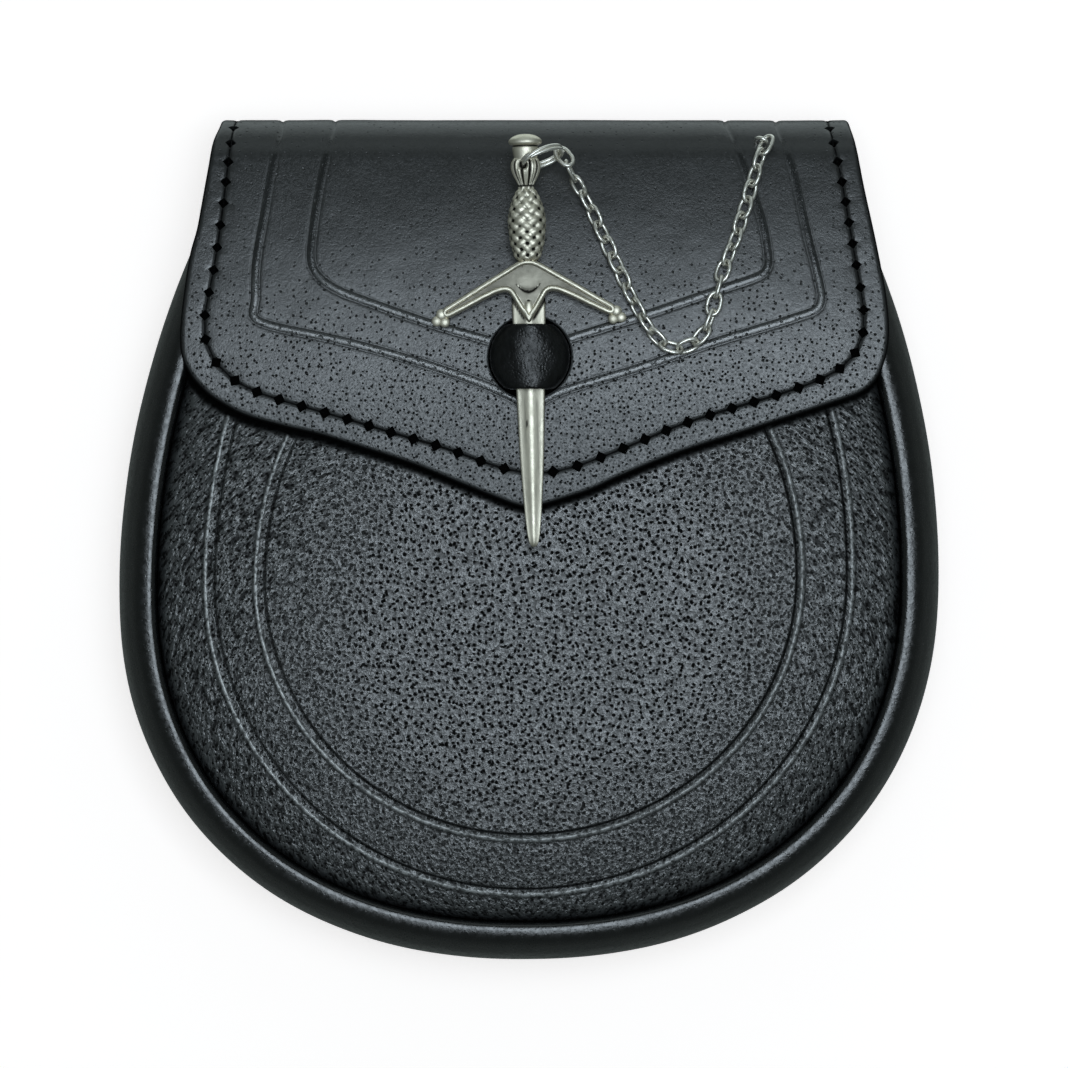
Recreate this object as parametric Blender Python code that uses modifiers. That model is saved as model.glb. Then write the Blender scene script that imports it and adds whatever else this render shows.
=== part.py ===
"""A day sporran: a stiff black leather pouch with a rolled rim, a folded flap
and a small metal sword on a chain that keeps the flap shut.

Metres, +Z up. The pouch lies on its back: the back panel's outer face is on
z = 0, +Z comes out of the front, +Y points to the folded top and +X to the
wearer's left as seen from the front. The origin is below the middle.
Sizes in the tables are in millimetres and are scaled by MM where they are used.
"""

import math

import bmesh
import bpy
from mathutils import Matrix, Vector

MM = 0.001

# --- outline of the body, seen from the front --------------------------------
HALF_WIDTH = 90.0  # at the widest place
Y_WIDEST = -9.5
BELOW_WIDEST = 82.6  # from the widest place down to the bottom
ROUNDNESS = 2.2  # exponent of the lower half's superellipse, 2 is an ellipse
NARROWING = 0.00279  # how fast the upper half draws in
LEAN = 0.0129  # hand-made: the body leans a little to one side
Y_MOUTH = 80.0  # where the gusset's ends stop, under the fold
Y_PANEL_TOP = 71.0  # straight top edge of the front panel

# --- depth ------------------------------------------------------------------------
LEATHER = 2.2
GAP = 0.3
RIM_Z = 36.0  # crest of the rolled rim
FLAP_Z = 39.6  # outer face of the flap, low down
SLOPE_START = 30.0  # above this y the front falls back towards the fold
SLOPE_R = 227.0
TOP_Y = 92.05  # outermost line of the fold
FOLD_R_FRONT = 12.0
FOLD_R_BACK = 10.0
FLAP_DROOP = 0.7  # how far the flap's sides hang below its middle

# The gusset's wall, outside then inside: inset from the outline, and height.
GUSSET_STATIONS = 52
GUSSET_OUTSIDE = (
    # inset, z
    (9.0, 2.5),
    (3.6, 2.5),
    (1.8, 3.9),
    (0.6, 8.0),
    (0.0, 15.0),
    (0.1, 20.5),
    (0.9, 26.0),
    (2.2, 30.4),
    (3.9, 33.7),
    (5.2, 35.3),
    (6.3, 36.0),
    (7.2, 35.6),
    (7.8, 34.6),
    (8.0, 33.2),
    (8.0, 29.0),
)
GUSSET_INSIDE = (
    # inset, z
    (6.2, 29.0),
    (6.1, 32.5),
    (5.5, 32.3),
    (4.2, 29.0),
    (2.9, 25.0),
    (2.2, 20.0),
    (2.3, 14.0),
    (3.0, 8.0),
    (4.4, 4.7),
    (9.0, 4.7),
)

# The front panel, from the turned-in edge to the middle: how much further in
# and how much higher each ring is than the last.
PANEL_INSET = 8.3
PANEL_EDGE_Z = 28.2
PANEL_CORNER_R = 7.0
PANEL_EDGE = (
    # in, up
    (0.15, 2.4),
    (0.75, 1.7),
    (1.15, 1.5),
    (1.90, 1.0),
)
PANEL_DOME = (
    # size of this ring as a share of the last, up
    (0.88, 0.85),
    (0.80, 0.75),
    (0.68, 0.40),
)
PANEL_MIDDLE_Y = -8.0

# Half widths of the flap from the fold down to its tip.
FLAP_ROWS = (
    # y, half width
    (76.0, 71.1),
    (69.0, 72.5),
    (62.0, 74.3),
    (54.0, 75.7),
    (47.0, 76.6),
    (41.5, 76.5),
    (37.8, 75.5),
    (35.0, 73.6),
    (32.6, 70.9),
    (30.6, 67.6),
    (28.2, 62.2),
    (25.3, 54.0),
    (22.6, 45.2),
    (18.4, 32.0),
    (13.9, 20.0),
    (10.7, 13.0),
    (8.5, 7.0),
    (7.3, 3.0),
)
FOLD_HALF_WIDTH = 68.8
SHEET_COLUMNS = 10

# --- closure ----------------------------------------------------------------------
LOOP_CENTRE = (0.1, 39.5)
LOOP_HOLE_R = 9.0
LOOP_R = 8.65  # its sides follow the hole
LOOP_LENGTH = 14.0  # along the blade
LOOP_LEATHER = 1.1
LOOP_TOP_Z = 45.7
LOOP_ARCH = 5.2  # height of the arched part

# --- slots for the strap in the back panel -----------------------------------
SLOT_CENTRES = ((-52.0, 52.0), (-36.0, 52.0), (36.0, 52.0), (52.0, 52.0))
SLOT_LENGTH = 31.0
SLOT_WIDTH = 5.6

# --- sword, in its own frame: y along it with 0 at the loop's centre ---------
SWORD_TILT = 1.25  # degrees
SWORD_Z = 39.9  # its flat back
SWORD_AXIS_Z = 2.4
SWORD_FLATTEN = 0.85
GRIP_PROFILE = (
    # y, radius: runs from the pommel's crown down to the guard
    (48.0, 0.0),
    (47.9, 1.6),
    (47.2, 3.0),
    (46.5, 3.65),
    (45.9, 3.3),
    (45.2, 2.7),
    (43.4, 2.6),
    (42.2, 2.55),
    (40.6, 2.6),
    (38.6, 3.0),
    (37.0, 2.1),
    (35.0, 3.0),
    (32.2, 3.8),
    (29.4, 4.3),
    (26.2, 3.7),
    (23.0, 3.0),
    (18.0, 2.7),
    (18.0, 0.0),
)
GUARD_OUTLINE = (
    # x, y: half of the guard, from the top of the hub out along the arm and back
    (0.0, 21.6),
    (1.8, 21.2),
    (4.4, 18.9),
    (8.4, 15.4),
    (13.0, 12.2),
    (17.6, 10.2),
    (18.4, 7.6),
    (13.0, 8.9),
    (7.6, 12.0),
    (4.2, 14.6),
    (1.9, 11.4),
    (0.0, 7.4),
)
GUARD_THICKNESS = 3.2
LOBE = (19.0, 8.7, 1.95)  # x, y, radius
BLADE_ROWS = (
    # y, half width, height of the ridge
    (16.0, 3.6, 2.6),
    (7.3, 3.5, 2.6),
    (-7.1, 3.1, 2.5),
    (-21.8, 2.6, 2.3),
    (-32.3, 1.95, 2.0),
    (-38.2, 1.35, 1.6),
    (-40.3, 0.8, 1.1),
    (-41.0, 0.35, 0.7),
)

# --- ring through the neck -----------------------------------------------------
RING_CENTRE = (2.75, 82.45, 41.5)
RING_ANGLE = 20.0  # of its long axis above +X
RING_DIP = 12.0  # of its free end towards the flap
RING_LEAN = 24.0  # of its plane out of the upright
RING_HALF = (4.6, 3.15)
RING_WIRE_R = 0.45
NECK_HOLE = (-3.93, 1.5, 0.85)  # in the ring's frame: place on its long axis, half sizes along and across

# --- chain --------------------------------------------------------------------------
LINK_LENGTH = 5.6
LINK_WIDTH = 3.6
LINK_WIRE_R = 0.37
LINK_COUNT = 28
LINK_POINTS = 10
FLAT_LINK = 17  # this one, counted from 0, lies flat
FLAT_LINK_ROLLS = (-74.0, 8.0, 84.0, 26.0)  # from the link before it to the second after it
CHAIN_CLEARANCE = 0.4
CHAIN_HEIGHT = 1.8  # of most links' middles above the flap
CHAIN_STEP = 0.3  # most that a link's middle may lie below the next one's
CHAIN_LIFT_LENGTH = 12.0  # the ring holds the first link up, and the next ones come down over this length
CHAIN_ROUTE = (
    # x, y of the chain's middle line on the flap, after the ring
    (9.2, 78.6),
    (13.2, 71.5),
    (16.5, 64.4),
    (19.6, 57.7),
    (23.0, 50.4),
    (26.7, 44.6),
    (29.4, 42.0),
    (32.7, 41.3),
    (36.3, 43.2),
    (38.7, 46.7),
    (39.9, 51.0),
    (41.9, 58.2),
    (44.5, 64.8),
    (47.8, 75.3),
    (49.8, 82.0),
    (51.3, 85.0),
)

# --- staple -----------------------------------------------------------------------
STAPLE_WIRE_R = 0.45
STAPLE_HALF_SPAN = 1.3
STAPLE_RISE = 2.3
STAPLE_HOLE_R = 0.75


# ---------------------------------------------------------------------------
# scene and helpers
# ---------------------------------------------------------------------------


def clear_scene():
    for obj in list(bpy.data.objects):
        bpy.data.objects.remove(obj, do_unlink=True)


def new_collection(name):
    collection = bpy.data.collections.new(name)
    bpy.context.scene.collection.children.link(collection)
    return collection


def make_material(name, colour, roughness, metallic):
    material = bpy.data.materials.new(name)
    material.use_nodes = True
    shader = material.node_tree.nodes["Principled BSDF"]
    shader.inputs["Base Color"].default_value = (*colour, 1.0)
    shader.inputs["Roughness"].default_value = roughness
    shader.inputs["Metallic"].default_value = metallic
    return material


def add_object(name, data, collection, material=None):
    obj = bpy.data.objects.new(name, data)
    collection.objects.link(obj)
    if material is not None and not data.materials:
        data.materials.append(material)
    return obj


def mesh_from_bmesh(name, bm):
    mesh = bpy.data.meshes.new(name)
    bm.to_mesh(mesh)
    bm.free()
    mesh.shade_smooth()
    mesh.set_sharp_from_angle(angle=math.radians(40))
    return mesh


def smoothed(points, pieces):
    """Points on the smooth curve through the given ones (Catmull-Rom)."""
    result = []
    last = len(points) - 1
    for i in range(last):
        a = Vector(points[max(i - 1, 0)])
        b = Vector(points[i])
        c = Vector(points[i + 1])
        d = Vector(points[min(i + 2, last)])
        for k in range(pieces):
            t = k / pieces
            result.append(
                0.5
                * (
                    2 * b
                    + (c - a) * t
                    + (2 * a - 5 * b + 4 * c - d) * t * t
                    + (3 * b - 3 * c + d - a) * t**3
                )
            )
    result.append(Vector(points[last]))
    return result


def resampled(points, count):
    """The same line as count points at equal distances."""
    lengths = [0.0]
    for a, b in zip(points, points[1:]):
        lengths.append(lengths[-1] + (b - a).length)
    result = []
    i = 0
    for k in range(count):
        at = lengths[-1] * k / (count - 1)
        while i < len(points) - 2 and lengths[i + 1] < at:
            i += 1
        span = lengths[i + 1] - lengths[i]
        t = (at - lengths[i]) / span if span else 0.0
        result.append(points[i].lerp(points[i + 1], t))
    return result


# ---------------------------------------------------------------------------
# the shape of the body
# ---------------------------------------------------------------------------


def half_width(y):
    if y >= Y_WIDEST:
        return HALF_WIDTH - NARROWING * (y - Y_WIDEST) ** 2
    down = min(1.0, (Y_WIDEST - y) / BELOW_WIDEST)
    return HALF_WIDTH * (1 - down**ROUNDNESS) ** (1 / ROUNDNESS)


def outline(y_top, count):
    """The body's outline as an open U, from its top left end round the bottom to its top right end."""
    right = []
    for k in range(41):
        angle = 0.5 * math.pi * (k / 40)
        x = HALF_WIDTH * math.sin(angle) ** (2 / ROUNDNESS)
        y = Y_WIDEST - BELOW_WIDEST * math.cos(angle) ** (2 / ROUNDNESS)
        right.append(Vector((x, y)))
    for k in range(1, 31):
        y = Y_WIDEST + (y_top - Y_WIDEST) * k / 30
        right.append(Vector((half_width(y), y)))
    left = [Vector((-p.x, p.y)) for p in reversed(right[1:])]
    return resampled(left + right, count)


def inward(points):
    """The inward normal at each point of the U."""
    result = []
    for i in range(len(points)):
        a = points[max(i - 1, 0)]
        b = points[min(i + 1, len(points) - 1)]
        along = (b - a).normalized()
        result.append(Vector((-along.y, along.x)))
    return result


def fall(y):
    """How far the front has fallen back at y."""
    return max(0.0, y - SLOPE_START) ** 2 / (2 * SLOPE_R)


def placed(x, y, z):
    """A point of the body: leaned to its side, and the front brought back towards the fold."""
    share = max(0.0, z - LEATHER) / (RIM_Z - LEATHER)
    return Vector((x + LEAN * y, y, z - fall(y) * share)) * MM


def flap_face(y):
    """Height and slope of the flap's outer face at y, over the straight part."""
    share = (FLAP_Z - LEATHER) / (RIM_Z - LEATHER)
    z = FLAP_Z - fall(y) * share
    slope = -max(0.0, y - SLOPE_START) / SLOPE_R * share
    return z, slope


def fold_start():
    """Where the flap's straight part meets the front bend: y, z and the bend's angle."""
    y = TOP_Y - FOLD_R_FRONT
    for _ in range(20):
        angle = math.pi / 2 - math.atan(-flap_face(y)[1])
        y = TOP_Y - FOLD_R_FRONT * (1 - math.cos(angle))
    return y, flap_face(y)[0], angle


def flap_surface(y):
    """Point height and unit normal (y, z) on the flap's outer face, also on the front bend."""
    y_bend, z_bend, angle = fold_start()
    if y <= y_bend:
        z, slope = flap_face(y)
        return z, Vector((0.0, -slope, 1.0)).normalized()
    centre_y = TOP_Y - FOLD_R_FRONT
    centre_z = z_bend - FOLD_R_FRONT * math.sin(angle)
    turn = math.acos(min(1.0, (y - centre_y) / FOLD_R_FRONT))
    return (
        centre_z + FOLD_R_FRONT * math.sin(turn),
        Vector((0.0, math.cos(turn), math.sin(turn))),
    )


# ---------------------------------------------------------------------------
# leather pieces
# ---------------------------------------------------------------------------


def build_gusset(collection, material):
    section = GUSSET_OUTSIDE + GUSSET_INSIDE
    path = outline(Y_MOUTH, GUSSET_STATIONS)
    bm = bmesh.new()
    rings = []
    for point, normal in zip(path, inward(path)):
        ring = []
        for inset, z in section:
            at = point + normal * inset
            ring.append(bm.verts.new(placed(at.x, at.y, z)))
        rings.append(ring)
    count = len(section)
    for a, b in zip(rings, rings[1:]):
        for i in range(count):
            j = (i + 1) % count
            bm.faces.new((a[i], a[j], b[j], b[i]))
    bm.faces.new(list(reversed(rings[0])))
    bm.faces.new(rings[-1])
    bmesh.ops.recalc_face_normals(bm, faces=bm.faces)
    return add_object("gusset", mesh_from_bmesh("gusset", bm), collection, material)


def panel_outline():
    """The front panel's edge, counter-clockwise: the U, and a straight top with rounded corners."""
    path = outline(Y_PANEL_TOP, 50)
    edge = [p + n * PANEL_INSET for p, n in zip(path, inward(path))]
    start = Y_PANEL_TOP - PANEL_CORNER_R
    edge = [p for p in edge if p.y < start]
    side = (edge[-1] - edge[-2]).normalized()
    before = edge[-1] + side * ((start - edge[-1].y) / side.y)
    corner = before + side * (PANEL_CORNER_R / side.y)
    after = corner - Vector(((corner - before).length, 0.0))
    bend = []
    for k in range(6):
        t = k / 5
        bend.append(before.lerp(corner, t).lerp(corner.lerp(after, t), t))
    half = bend + [Vector((after.x * (1 - k / 5), Y_PANEL_TOP)) for k in range(1, 6)]
    mirrored = [Vector((-p.x, p.y)) for p in reversed(half[:-1])]
    return edge + half + mirrored


def build_front_panel(collection, material):
    bm = bmesh.new()
    verts = [bm.verts.new((p.x, p.y, PANEL_EDGE_Z)) for p in panel_outline()]
    face = bm.faces.new(verts)
    bm.normal_update()
    for inwards, upwards in PANEL_EDGE:
        bmesh.ops.inset_individual(
            bm, faces=[face], thickness=inwards, depth=upwards, use_even_offset=True
        )
    middle = Vector((0.0, PANEL_MIDDLE_Y, 0.0))
    for share, upwards in PANEL_DOME:
        face = bmesh.ops.extrude_discrete_faces(bm, faces=[face])["faces"][0]
        bmesh.ops.scale(
            bm,
            vec=(share, share, 1.0),
            verts=face.verts,
            space=Matrix.Translation(-middle),
        )
        bmesh.ops.translate(bm, vec=(0.0, 0.0, upwards), verts=face.verts)
    for vert in bm.verts:
        vert.co = placed(vert.co.x, vert.co.y, vert.co.z)
    obj = add_object(
        "front_panel", mesh_from_bmesh("front_panel", bm), collection, material
    )
    solidify = obj.modifiers.new("leather", "SOLIDIFY")
    solidify.thickness = 2.0 * MM
    solidify.offset = -1.0
    return obj


def sheet_rows():
    """Rows of the one long leather sheet from the back panel's bottom, over the fold, to the flap's tip: (y, z, half width, droop)."""
    rows = []
    inset = 2.6
    for degrees in (86, 79, 71, 62, 52, 41, 28, 14, 0):
        angle = math.radians(degrees)
        width = (HALF_WIDTH - inset) * math.cos(angle) ** (2 / ROUNDNESS)
        y = Y_WIDEST - (BELOW_WIDEST - inset) * math.sin(angle) ** (2 / ROUNDNESS)
        rows.append((y, 0.0, width, 0.0))
    for y in (8.0, 25.0, 42.0, 56.0, 66.0, 73.0):
        rows.append((y, 0.0, max(half_width(y) - inset, FOLD_HALF_WIDTH), 0.0))
    y_bend, z_bend, turn = fold_start()
    for k in range(6):
        angle = math.pi / 2 * k / 5
        y = TOP_Y - FOLD_R_BACK + FOLD_R_BACK * math.sin(angle)
        z = FOLD_R_BACK * (1 - math.cos(angle))
        rows.append((y, z, FOLD_HALF_WIDTH, 0.0))
    centre_z = z_bend - FOLD_R_FRONT * math.sin(turn)
    for k in range(7):
        angle = turn * k / 6
        y = TOP_Y - FOLD_R_FRONT * (1 - math.cos(angle))
        z = centre_z + FOLD_R_FRONT * math.sin(angle)
        rows.append((y, z, FOLD_HALF_WIDTH + 1.0 * k / 6, 0.0))
    for y, width in FLAP_ROWS:
        droop = FLAP_DROOP * min(1.0, (y_bend - y) / 25.0)
        rows.append((y, flap_face(y)[0], width, droop))
    return rows


def round_cutter(name, collection, radius, depth, location, stretch=0.0):
    """A cylinder, or with stretch a slot with round ends, whose axis is Z."""
    bm = bmesh.new()
    bmesh.ops.create_cone(
        bm,
        cap_ends=True,
        segments=32,
        radius1=radius * MM,
        radius2=radius * MM,
        depth=depth * MM,
    )
    for vert in bm.verts:
        if abs(vert.co.y) > 1e-7:
            vert.co.y += math.copysign(stretch * MM, vert.co.y)
    mesh = mesh_from_bmesh(name, bm)
    obj = add_object(name, mesh, collection)
    obj.location = Vector(location) * MM
    obj.hide_render = True
    obj.display_type = "WIRE"
    return obj


def cut(obj, cutter, operation="DIFFERENCE"):
    modifier = obj.modifiers.new(cutter.name, "BOOLEAN")
    modifier.operation = operation
    modifier.solver = "EXACT"
    modifier.object = cutter


def build_sheet(collection, cutters, material):
    bm = bmesh.new()
    grid = []
    for y, z, width, droop in sheet_rows():
        row = []
        for k in range(SHEET_COLUMNS + 1):
            across = 2 * k / SHEET_COLUMNS - 1
            x = across * width
            sag = droop * (x / 76.0) ** 2
            row.append(bm.verts.new(Vector((x + LEAN * y, y, z - sag)) * MM))
        grid.append(row)
    for a, b in zip(grid, grid[1:]):
        for k in range(SHEET_COLUMNS):
            bm.faces.new((a[k], b[k], b[k + 1], a[k + 1]))
    obj = add_object(
        "flap_and_back", mesh_from_bmesh("flap_and_back", bm), collection, material
    )
    solidify = obj.modifiers.new("leather", "SOLIDIFY")
    solidify.thickness = LEATHER * MM
    solidify.offset = -1.0
    x, y = LOOP_CENTRE
    cut(obj, round_cutter("cut_loop_hole", cutters, LOOP_HOLE_R, 12.0, (x, y, 39.0)))
    for k, (x, y) in enumerate(SLOT_CENTRES):
        cut(
            obj,
            round_cutter(
                f"cut_strap_slot_{k + 1}",
                cutters,
                SLOT_WIDTH / 2,
                8.0,
                (x + LEAN * y, y, 1.0),
                stretch=(SLOT_LENGTH - SLOT_WIDTH) / 2,
            ),
        )
    return obj


def build_loop(collection, material):
    """The leather loop: an arch over the blade on a flat base that lies on the front panel. Seen from the front its sides follow the round hole."""
    base_z = placed(0.0, LOOP_CENTRE[1], 36.85).z / MM + GAP
    spring = LOOP_TOP_Z - LOOP_ARCH
    bm = bmesh.new()

    def band(y, inset):
        half = math.sqrt(LOOP_R**2 - y**2) - inset
        points = [(half, base_z + inset)]
        for k in range(13):
            angle = math.pi * k / 12
            points.append(
                (
                    half * math.cos(angle),
                    spring + (LOOP_ARCH - inset) * math.sin(angle),
                )
            )
        points.append((-half, base_z + inset))
        x0, y0 = LOOP_CENTRE
        return [bm.verts.new(Vector((x0 + x, y0 + y, z)) * MM) for x, z in points]

    outer, inner = [], []
    for k in range(8):
        y = LOOP_LENGTH * (k / 7 - 0.5)
        outer.append(band(y, 0.0))
        inner.append(band(y, LOOP_LEATHER))
    count = len(outer[0])
    for i in range(count):
        j = (i + 1) % count
        for rings in (outer, inner):
            for a, b in zip(rings, rings[1:]):
                bm.faces.new((a[i], a[j], b[j], b[i]))
        for end in (0, -1):
            a, b = outer[end], inner[end]
            bm.faces.new((a[i], a[j], b[j], b[i]))
    bmesh.ops.recalc_face_normals(bm, faces=bm.faces)
    return add_object(
        "closure_loop", mesh_from_bmesh("closure_loop", bm), collection, material
    )


# ---------------------------------------------------------------------------
# metal pieces
# ---------------------------------------------------------------------------


def hidden(obj):
    obj.hide_render = True
    obj.display_type = "WIRE"
    return obj


def build_sword(collection, cutters, material):
    """One casting: the blade is the base, and the guard, its lobes and the grip are joined to it."""
    holder = bpy.data.objects.new("sword_place", None)
    collection.objects.link(holder)
    holder.location = Vector((LOOP_CENTRE[0], LOOP_CENTRE[1], SWORD_Z)) * MM
    holder.rotation_euler = (0.0, 0.0, math.radians(SWORD_TILT))

    bm = bmesh.new()
    rings = []
    for y, width, ridge in BLADE_ROWS:
        section = (
            (-width, 0.45 * ridge),
            (-0.55 * width, 0.0),
            (0.55 * width, 0.0),
            (width, 0.45 * ridge),
            (0.12 * width, ridge),
            (-0.12 * width, ridge),
        )
        rings.append([bm.verts.new(Vector((x, y, z)) * MM) for x, z in section])
    for a, b in zip(rings, rings[1:]):
        for i in range(6):
            j = (i + 1) % 6
            bm.faces.new((a[i], a[j], b[j], b[i]))
    bm.faces.new(rings[0])
    bm.faces.new(rings[-1])
    bmesh.ops.recalc_face_normals(bm, faces=bm.faces)
    sword = add_object("sword_pin", mesh_from_bmesh("sword_pin", bm), collection, material)
    sword.parent = holder

    half = [Vector(p) for p in GUARD_OUTLINE]
    full = half + [Vector((-p.x, p.y)) for p in reversed(half[1:-1])]
    bm = bmesh.new()
    low = [bm.verts.new(Vector((p.x, p.y, 0.0)) * MM) for p in full]
    high = [
        bm.verts.new(Vector((p.x, p.y, GUARD_THICKNESS)) * MM) for p in full
    ]
    for i in range(len(full)):
        j = (i + 1) % len(full)
        bm.faces.new((low[i], low[j], high[j], high[i]))
    bm.faces.new(low)
    bm.faces.new(high)
    bmesh.ops.recalc_face_normals(bm, faces=bm.faces)
    guard = hidden(add_object("join_guard", mesh_from_bmesh("join_guard", bm), cutters))

    bm = bmesh.new()
    for side in (-1, 1):
        x, y, radius = LOBE
        made = bmesh.ops.create_uvsphere(bm, u_segments=12, v_segments=8, radius=radius * MM)
        bmesh.ops.scale(bm, vec=(1.0, 1.0, 0.9), verts=made["verts"])
        bmesh.ops.translate(
            bm, vec=Vector((side * x, y, 0.9 * radius + 0.1)) * MM, verts=made["verts"]
        )
    lobes = hidden(add_object("join_lobes", mesh_from_bmesh("join_lobes", bm), cutters))

    mesh = bpy.data.meshes.new("join_grip")
    points = [(radius * MM, 0.0, y * MM) for y, radius in GRIP_PROFILE]
    mesh.from_pydata(points, [(i, i + 1) for i in range(len(points) - 1)], [])
    grip = hidden(add_object("join_grip", mesh, cutters))
    screw = grip.modifiers.new("turn", "SCREW")
    screw.steps = screw.render_steps = 16
    screw.use_merge_vertices = True
    screw.merge_threshold = 0.00001
    # The profile's Z becomes the sword's length, and the grip is a little flat.
    grip.rotation_euler = (-math.pi / 2, 0.0, 0.0)
    grip.scale = (1.0, SWORD_FLATTEN, 1.0)
    grip.location = Vector((0.0, 0.0, SWORD_AXIS_Z)) * MM

    for piece in (guard, lobes, grip):
        piece.parent = holder
        cut(sword, piece, "UNION")

    # The hole through the neck follows the ring's wire: its axis is the ring's Y.
    place, along, across = NECK_HOLE
    hole = round_cutter(
        "cut_neck_hole", cutters, across, 12.0, (0.0, 0.0, 0.0), along - across
    )
    to_wire = Matrix(
        ((0.0, 1.0, 0.0), (0.0, 0.0, 1.0), (1.0, 0.0, 0.0))
    ).to_4x4()
    at = Matrix.Translation((place * MM, 0.0, 0.0))
    hole.matrix_world = ring_place() @ at @ to_wire
    cut(sword, hole)
    return sword


def wire_curve(name, points, radius, cyclic):
    curve = bpy.data.curves.new(name, "CURVE")
    curve.dimensions = "3D"
    curve.bevel_depth = radius * MM
    curve.bevel_resolution = 2
    curve.use_fill_caps = not cyclic
    spline = curve.splines.new("POLY")
    spline.points.add(len(points) - 1)
    for slot, point in zip(spline.points, points):
        slot.co = (*(Vector(point) * MM), 1.0)
    spline.use_cyclic_u = cyclic
    return curve


def oval(half_length, half_width_, count, power=2.4):
    """A closed oval in the XY plane, a little squarer than an ellipse. Its two ends are flat, and lie at the full half length."""
    half_length /= math.cos(math.pi / count) ** (2 / power)
    points = []
    for k in range(count):
        angle = 2 * math.pi * (k + 0.5) / count
        c, s = math.cos(angle), math.sin(angle)
        points.append(
            (
                half_length * math.copysign(abs(c) ** (2 / power), c),
                half_width_ * math.copysign(abs(s) ** (2 / power), s),
                0.0,
            )
        )
    return points


def ring_place():
    """The ring's matrix: X is its long axis, Y stands up out of the flap, Z is its plane's normal."""
    return (
        Matrix.Translation(Vector(RING_CENTRE) * MM)
        @ Matrix.Rotation(math.radians(RING_ANGLE), 4, "Z")
        @ Matrix.Rotation(math.radians(RING_DIP), 4, "Y")
        @ Matrix.Rotation(math.radians(90 - RING_LEAN), 4, "X")
    )


def build_ring(collection, material):
    curve = wire_curve(
        "pommel_ring", oval(RING_HALF[0], RING_HALF[1], 18, 2.2), RING_WIRE_R, True
    )
    obj = add_object("pommel_ring", curve, collection, material)
    obj.matrix_world = ring_place()
    return obj


def link_roll(k):
    """Each link is turned about a quarter from the one before. The first hangs flat on the ring, the last lies in the staple, and one near the turn lies flat."""
    stated = {0: 0.0, 1: 72.0, LINK_COUNT - 2: -58.0, LINK_COUNT - 1: 30.0}
    stated.update(zip(range(FLAT_LINK - 1, FLAT_LINK + 3), FLAT_LINK_ROLLS))
    return stated.get(k, (-1) ** (k + 1) * 46.0 + 9.0 * math.sin(2.4 * k))


def build_chain(collection, material):
    """Links at equal steps along the route, lying on the flap."""
    curve = wire_curve(
        "chain_link",
        oval(
            LINK_LENGTH / 2 - LINK_WIRE_R, LINK_WIDTH / 2 - LINK_WIRE_R, LINK_POINTS
        ),
        LINK_WIRE_R,
        True,
    )
    # The first link encloses the ring's free end.
    ring = ring_place()
    hold = ring @ Vector((RING_HALF[0] * MM, 0.0, 0.0)) / MM
    inside = LINK_LENGTH / 2 - 2 * LINK_WIRE_R - RING_WIRE_R - 0.15
    away = Vector((*CHAIN_ROUTE[0], 0.0)) - hold
    away.z = 0.0
    first = hold + away.normalized() * inside

    start_up = flap_surface(first.y - 0.4)[1]
    start = Vector((first.x, first.y - start_up.y * CHAIN_HEIGHT, 0.0))
    flat = smoothed([tuple(start)] + [(*p, 0.0) for p in CHAIN_ROUTE], 12)
    z, up = flap_surface(start.y)
    lift = first.z - z - up.z * CHAIN_HEIGHT
    route = []
    for p in flat:
        z, up = flap_surface(p.y)
        share = max(0.0, 1 - (p - flat[0]).length / CHAIN_LIFT_LENGTH) ** 1.6
        route.append(Vector((p.x, p.y, z + lift * share)) + up * CHAIN_HEIGHT)
    centres = resampled(route, LINK_COUNT)
    heights = [CHAIN_HEIGHT]
    for k in range(1, LINK_COUNT):
        rise = abs(math.sin(math.radians(link_roll(k)))) * (LINK_WIDTH / 2 - LINK_WIRE_R)
        heights.append(CHAIN_CLEARANCE + LINK_WIRE_R + rise)
    # A link that lies lower than its neighbours hangs between them.
    for k in list(range(2, LINK_COUNT)) + list(range(LINK_COUNT - 2, 1, -1)):
        beside = max(heights[k - 1], heights[min(k + 1, LINK_COUNT - 1)])
        heights[k] = max(heights[k], beside - CHAIN_STEP)
    for k in range(1, LINK_COUNT):
        centres[k] += flap_surface(centres[k].y)[1] * (heights[k] - CHAIN_HEIGHT)
    for k, centre in enumerate(centres):
        ahead = centres[min(k + 1, LINK_COUNT - 1)]
        behind = centres[max(k - 1, 0)]
        along = (ahead - behind).normalized()
        up = flap_surface(centre.y)[1]
        if k == 0:
            up = ring.to_3x3() @ Vector((0.0, 1.0, 0.0))
            along = (along - up * along.dot(up)).normalized()
        side = along.cross(up).normalized()
        up = side.cross(along)
        roll = math.radians(link_roll(k))
        across = side * math.cos(roll) + up * math.sin(roll)
        normal = along.cross(across)
        obj = add_object(f"chain_link_{k + 1:02d}", curve, collection, material)
        basis = Matrix((along, across, normal)).transposed().to_4x4()
        obj.matrix_world = Matrix.Translation(centre * MM) @ basis
    return centres


def nearest_on_flap(point):
    """The point of the flap's outer face straight below the given one, along the face's normal."""
    y_bend, z_bend, turn = fold_start()
    centre_y = TOP_Y - FOLD_R_FRONT
    centre_z = z_bend - FOLD_R_FRONT * math.sin(turn)
    angle = math.atan2(point.z - centre_z, point.y - centre_y)
    y = centre_y + FOLD_R_FRONT * math.cos(min(angle, turn))
    z, up = flap_surface(y)
    return Vector((point.x, y, z)), up


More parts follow.
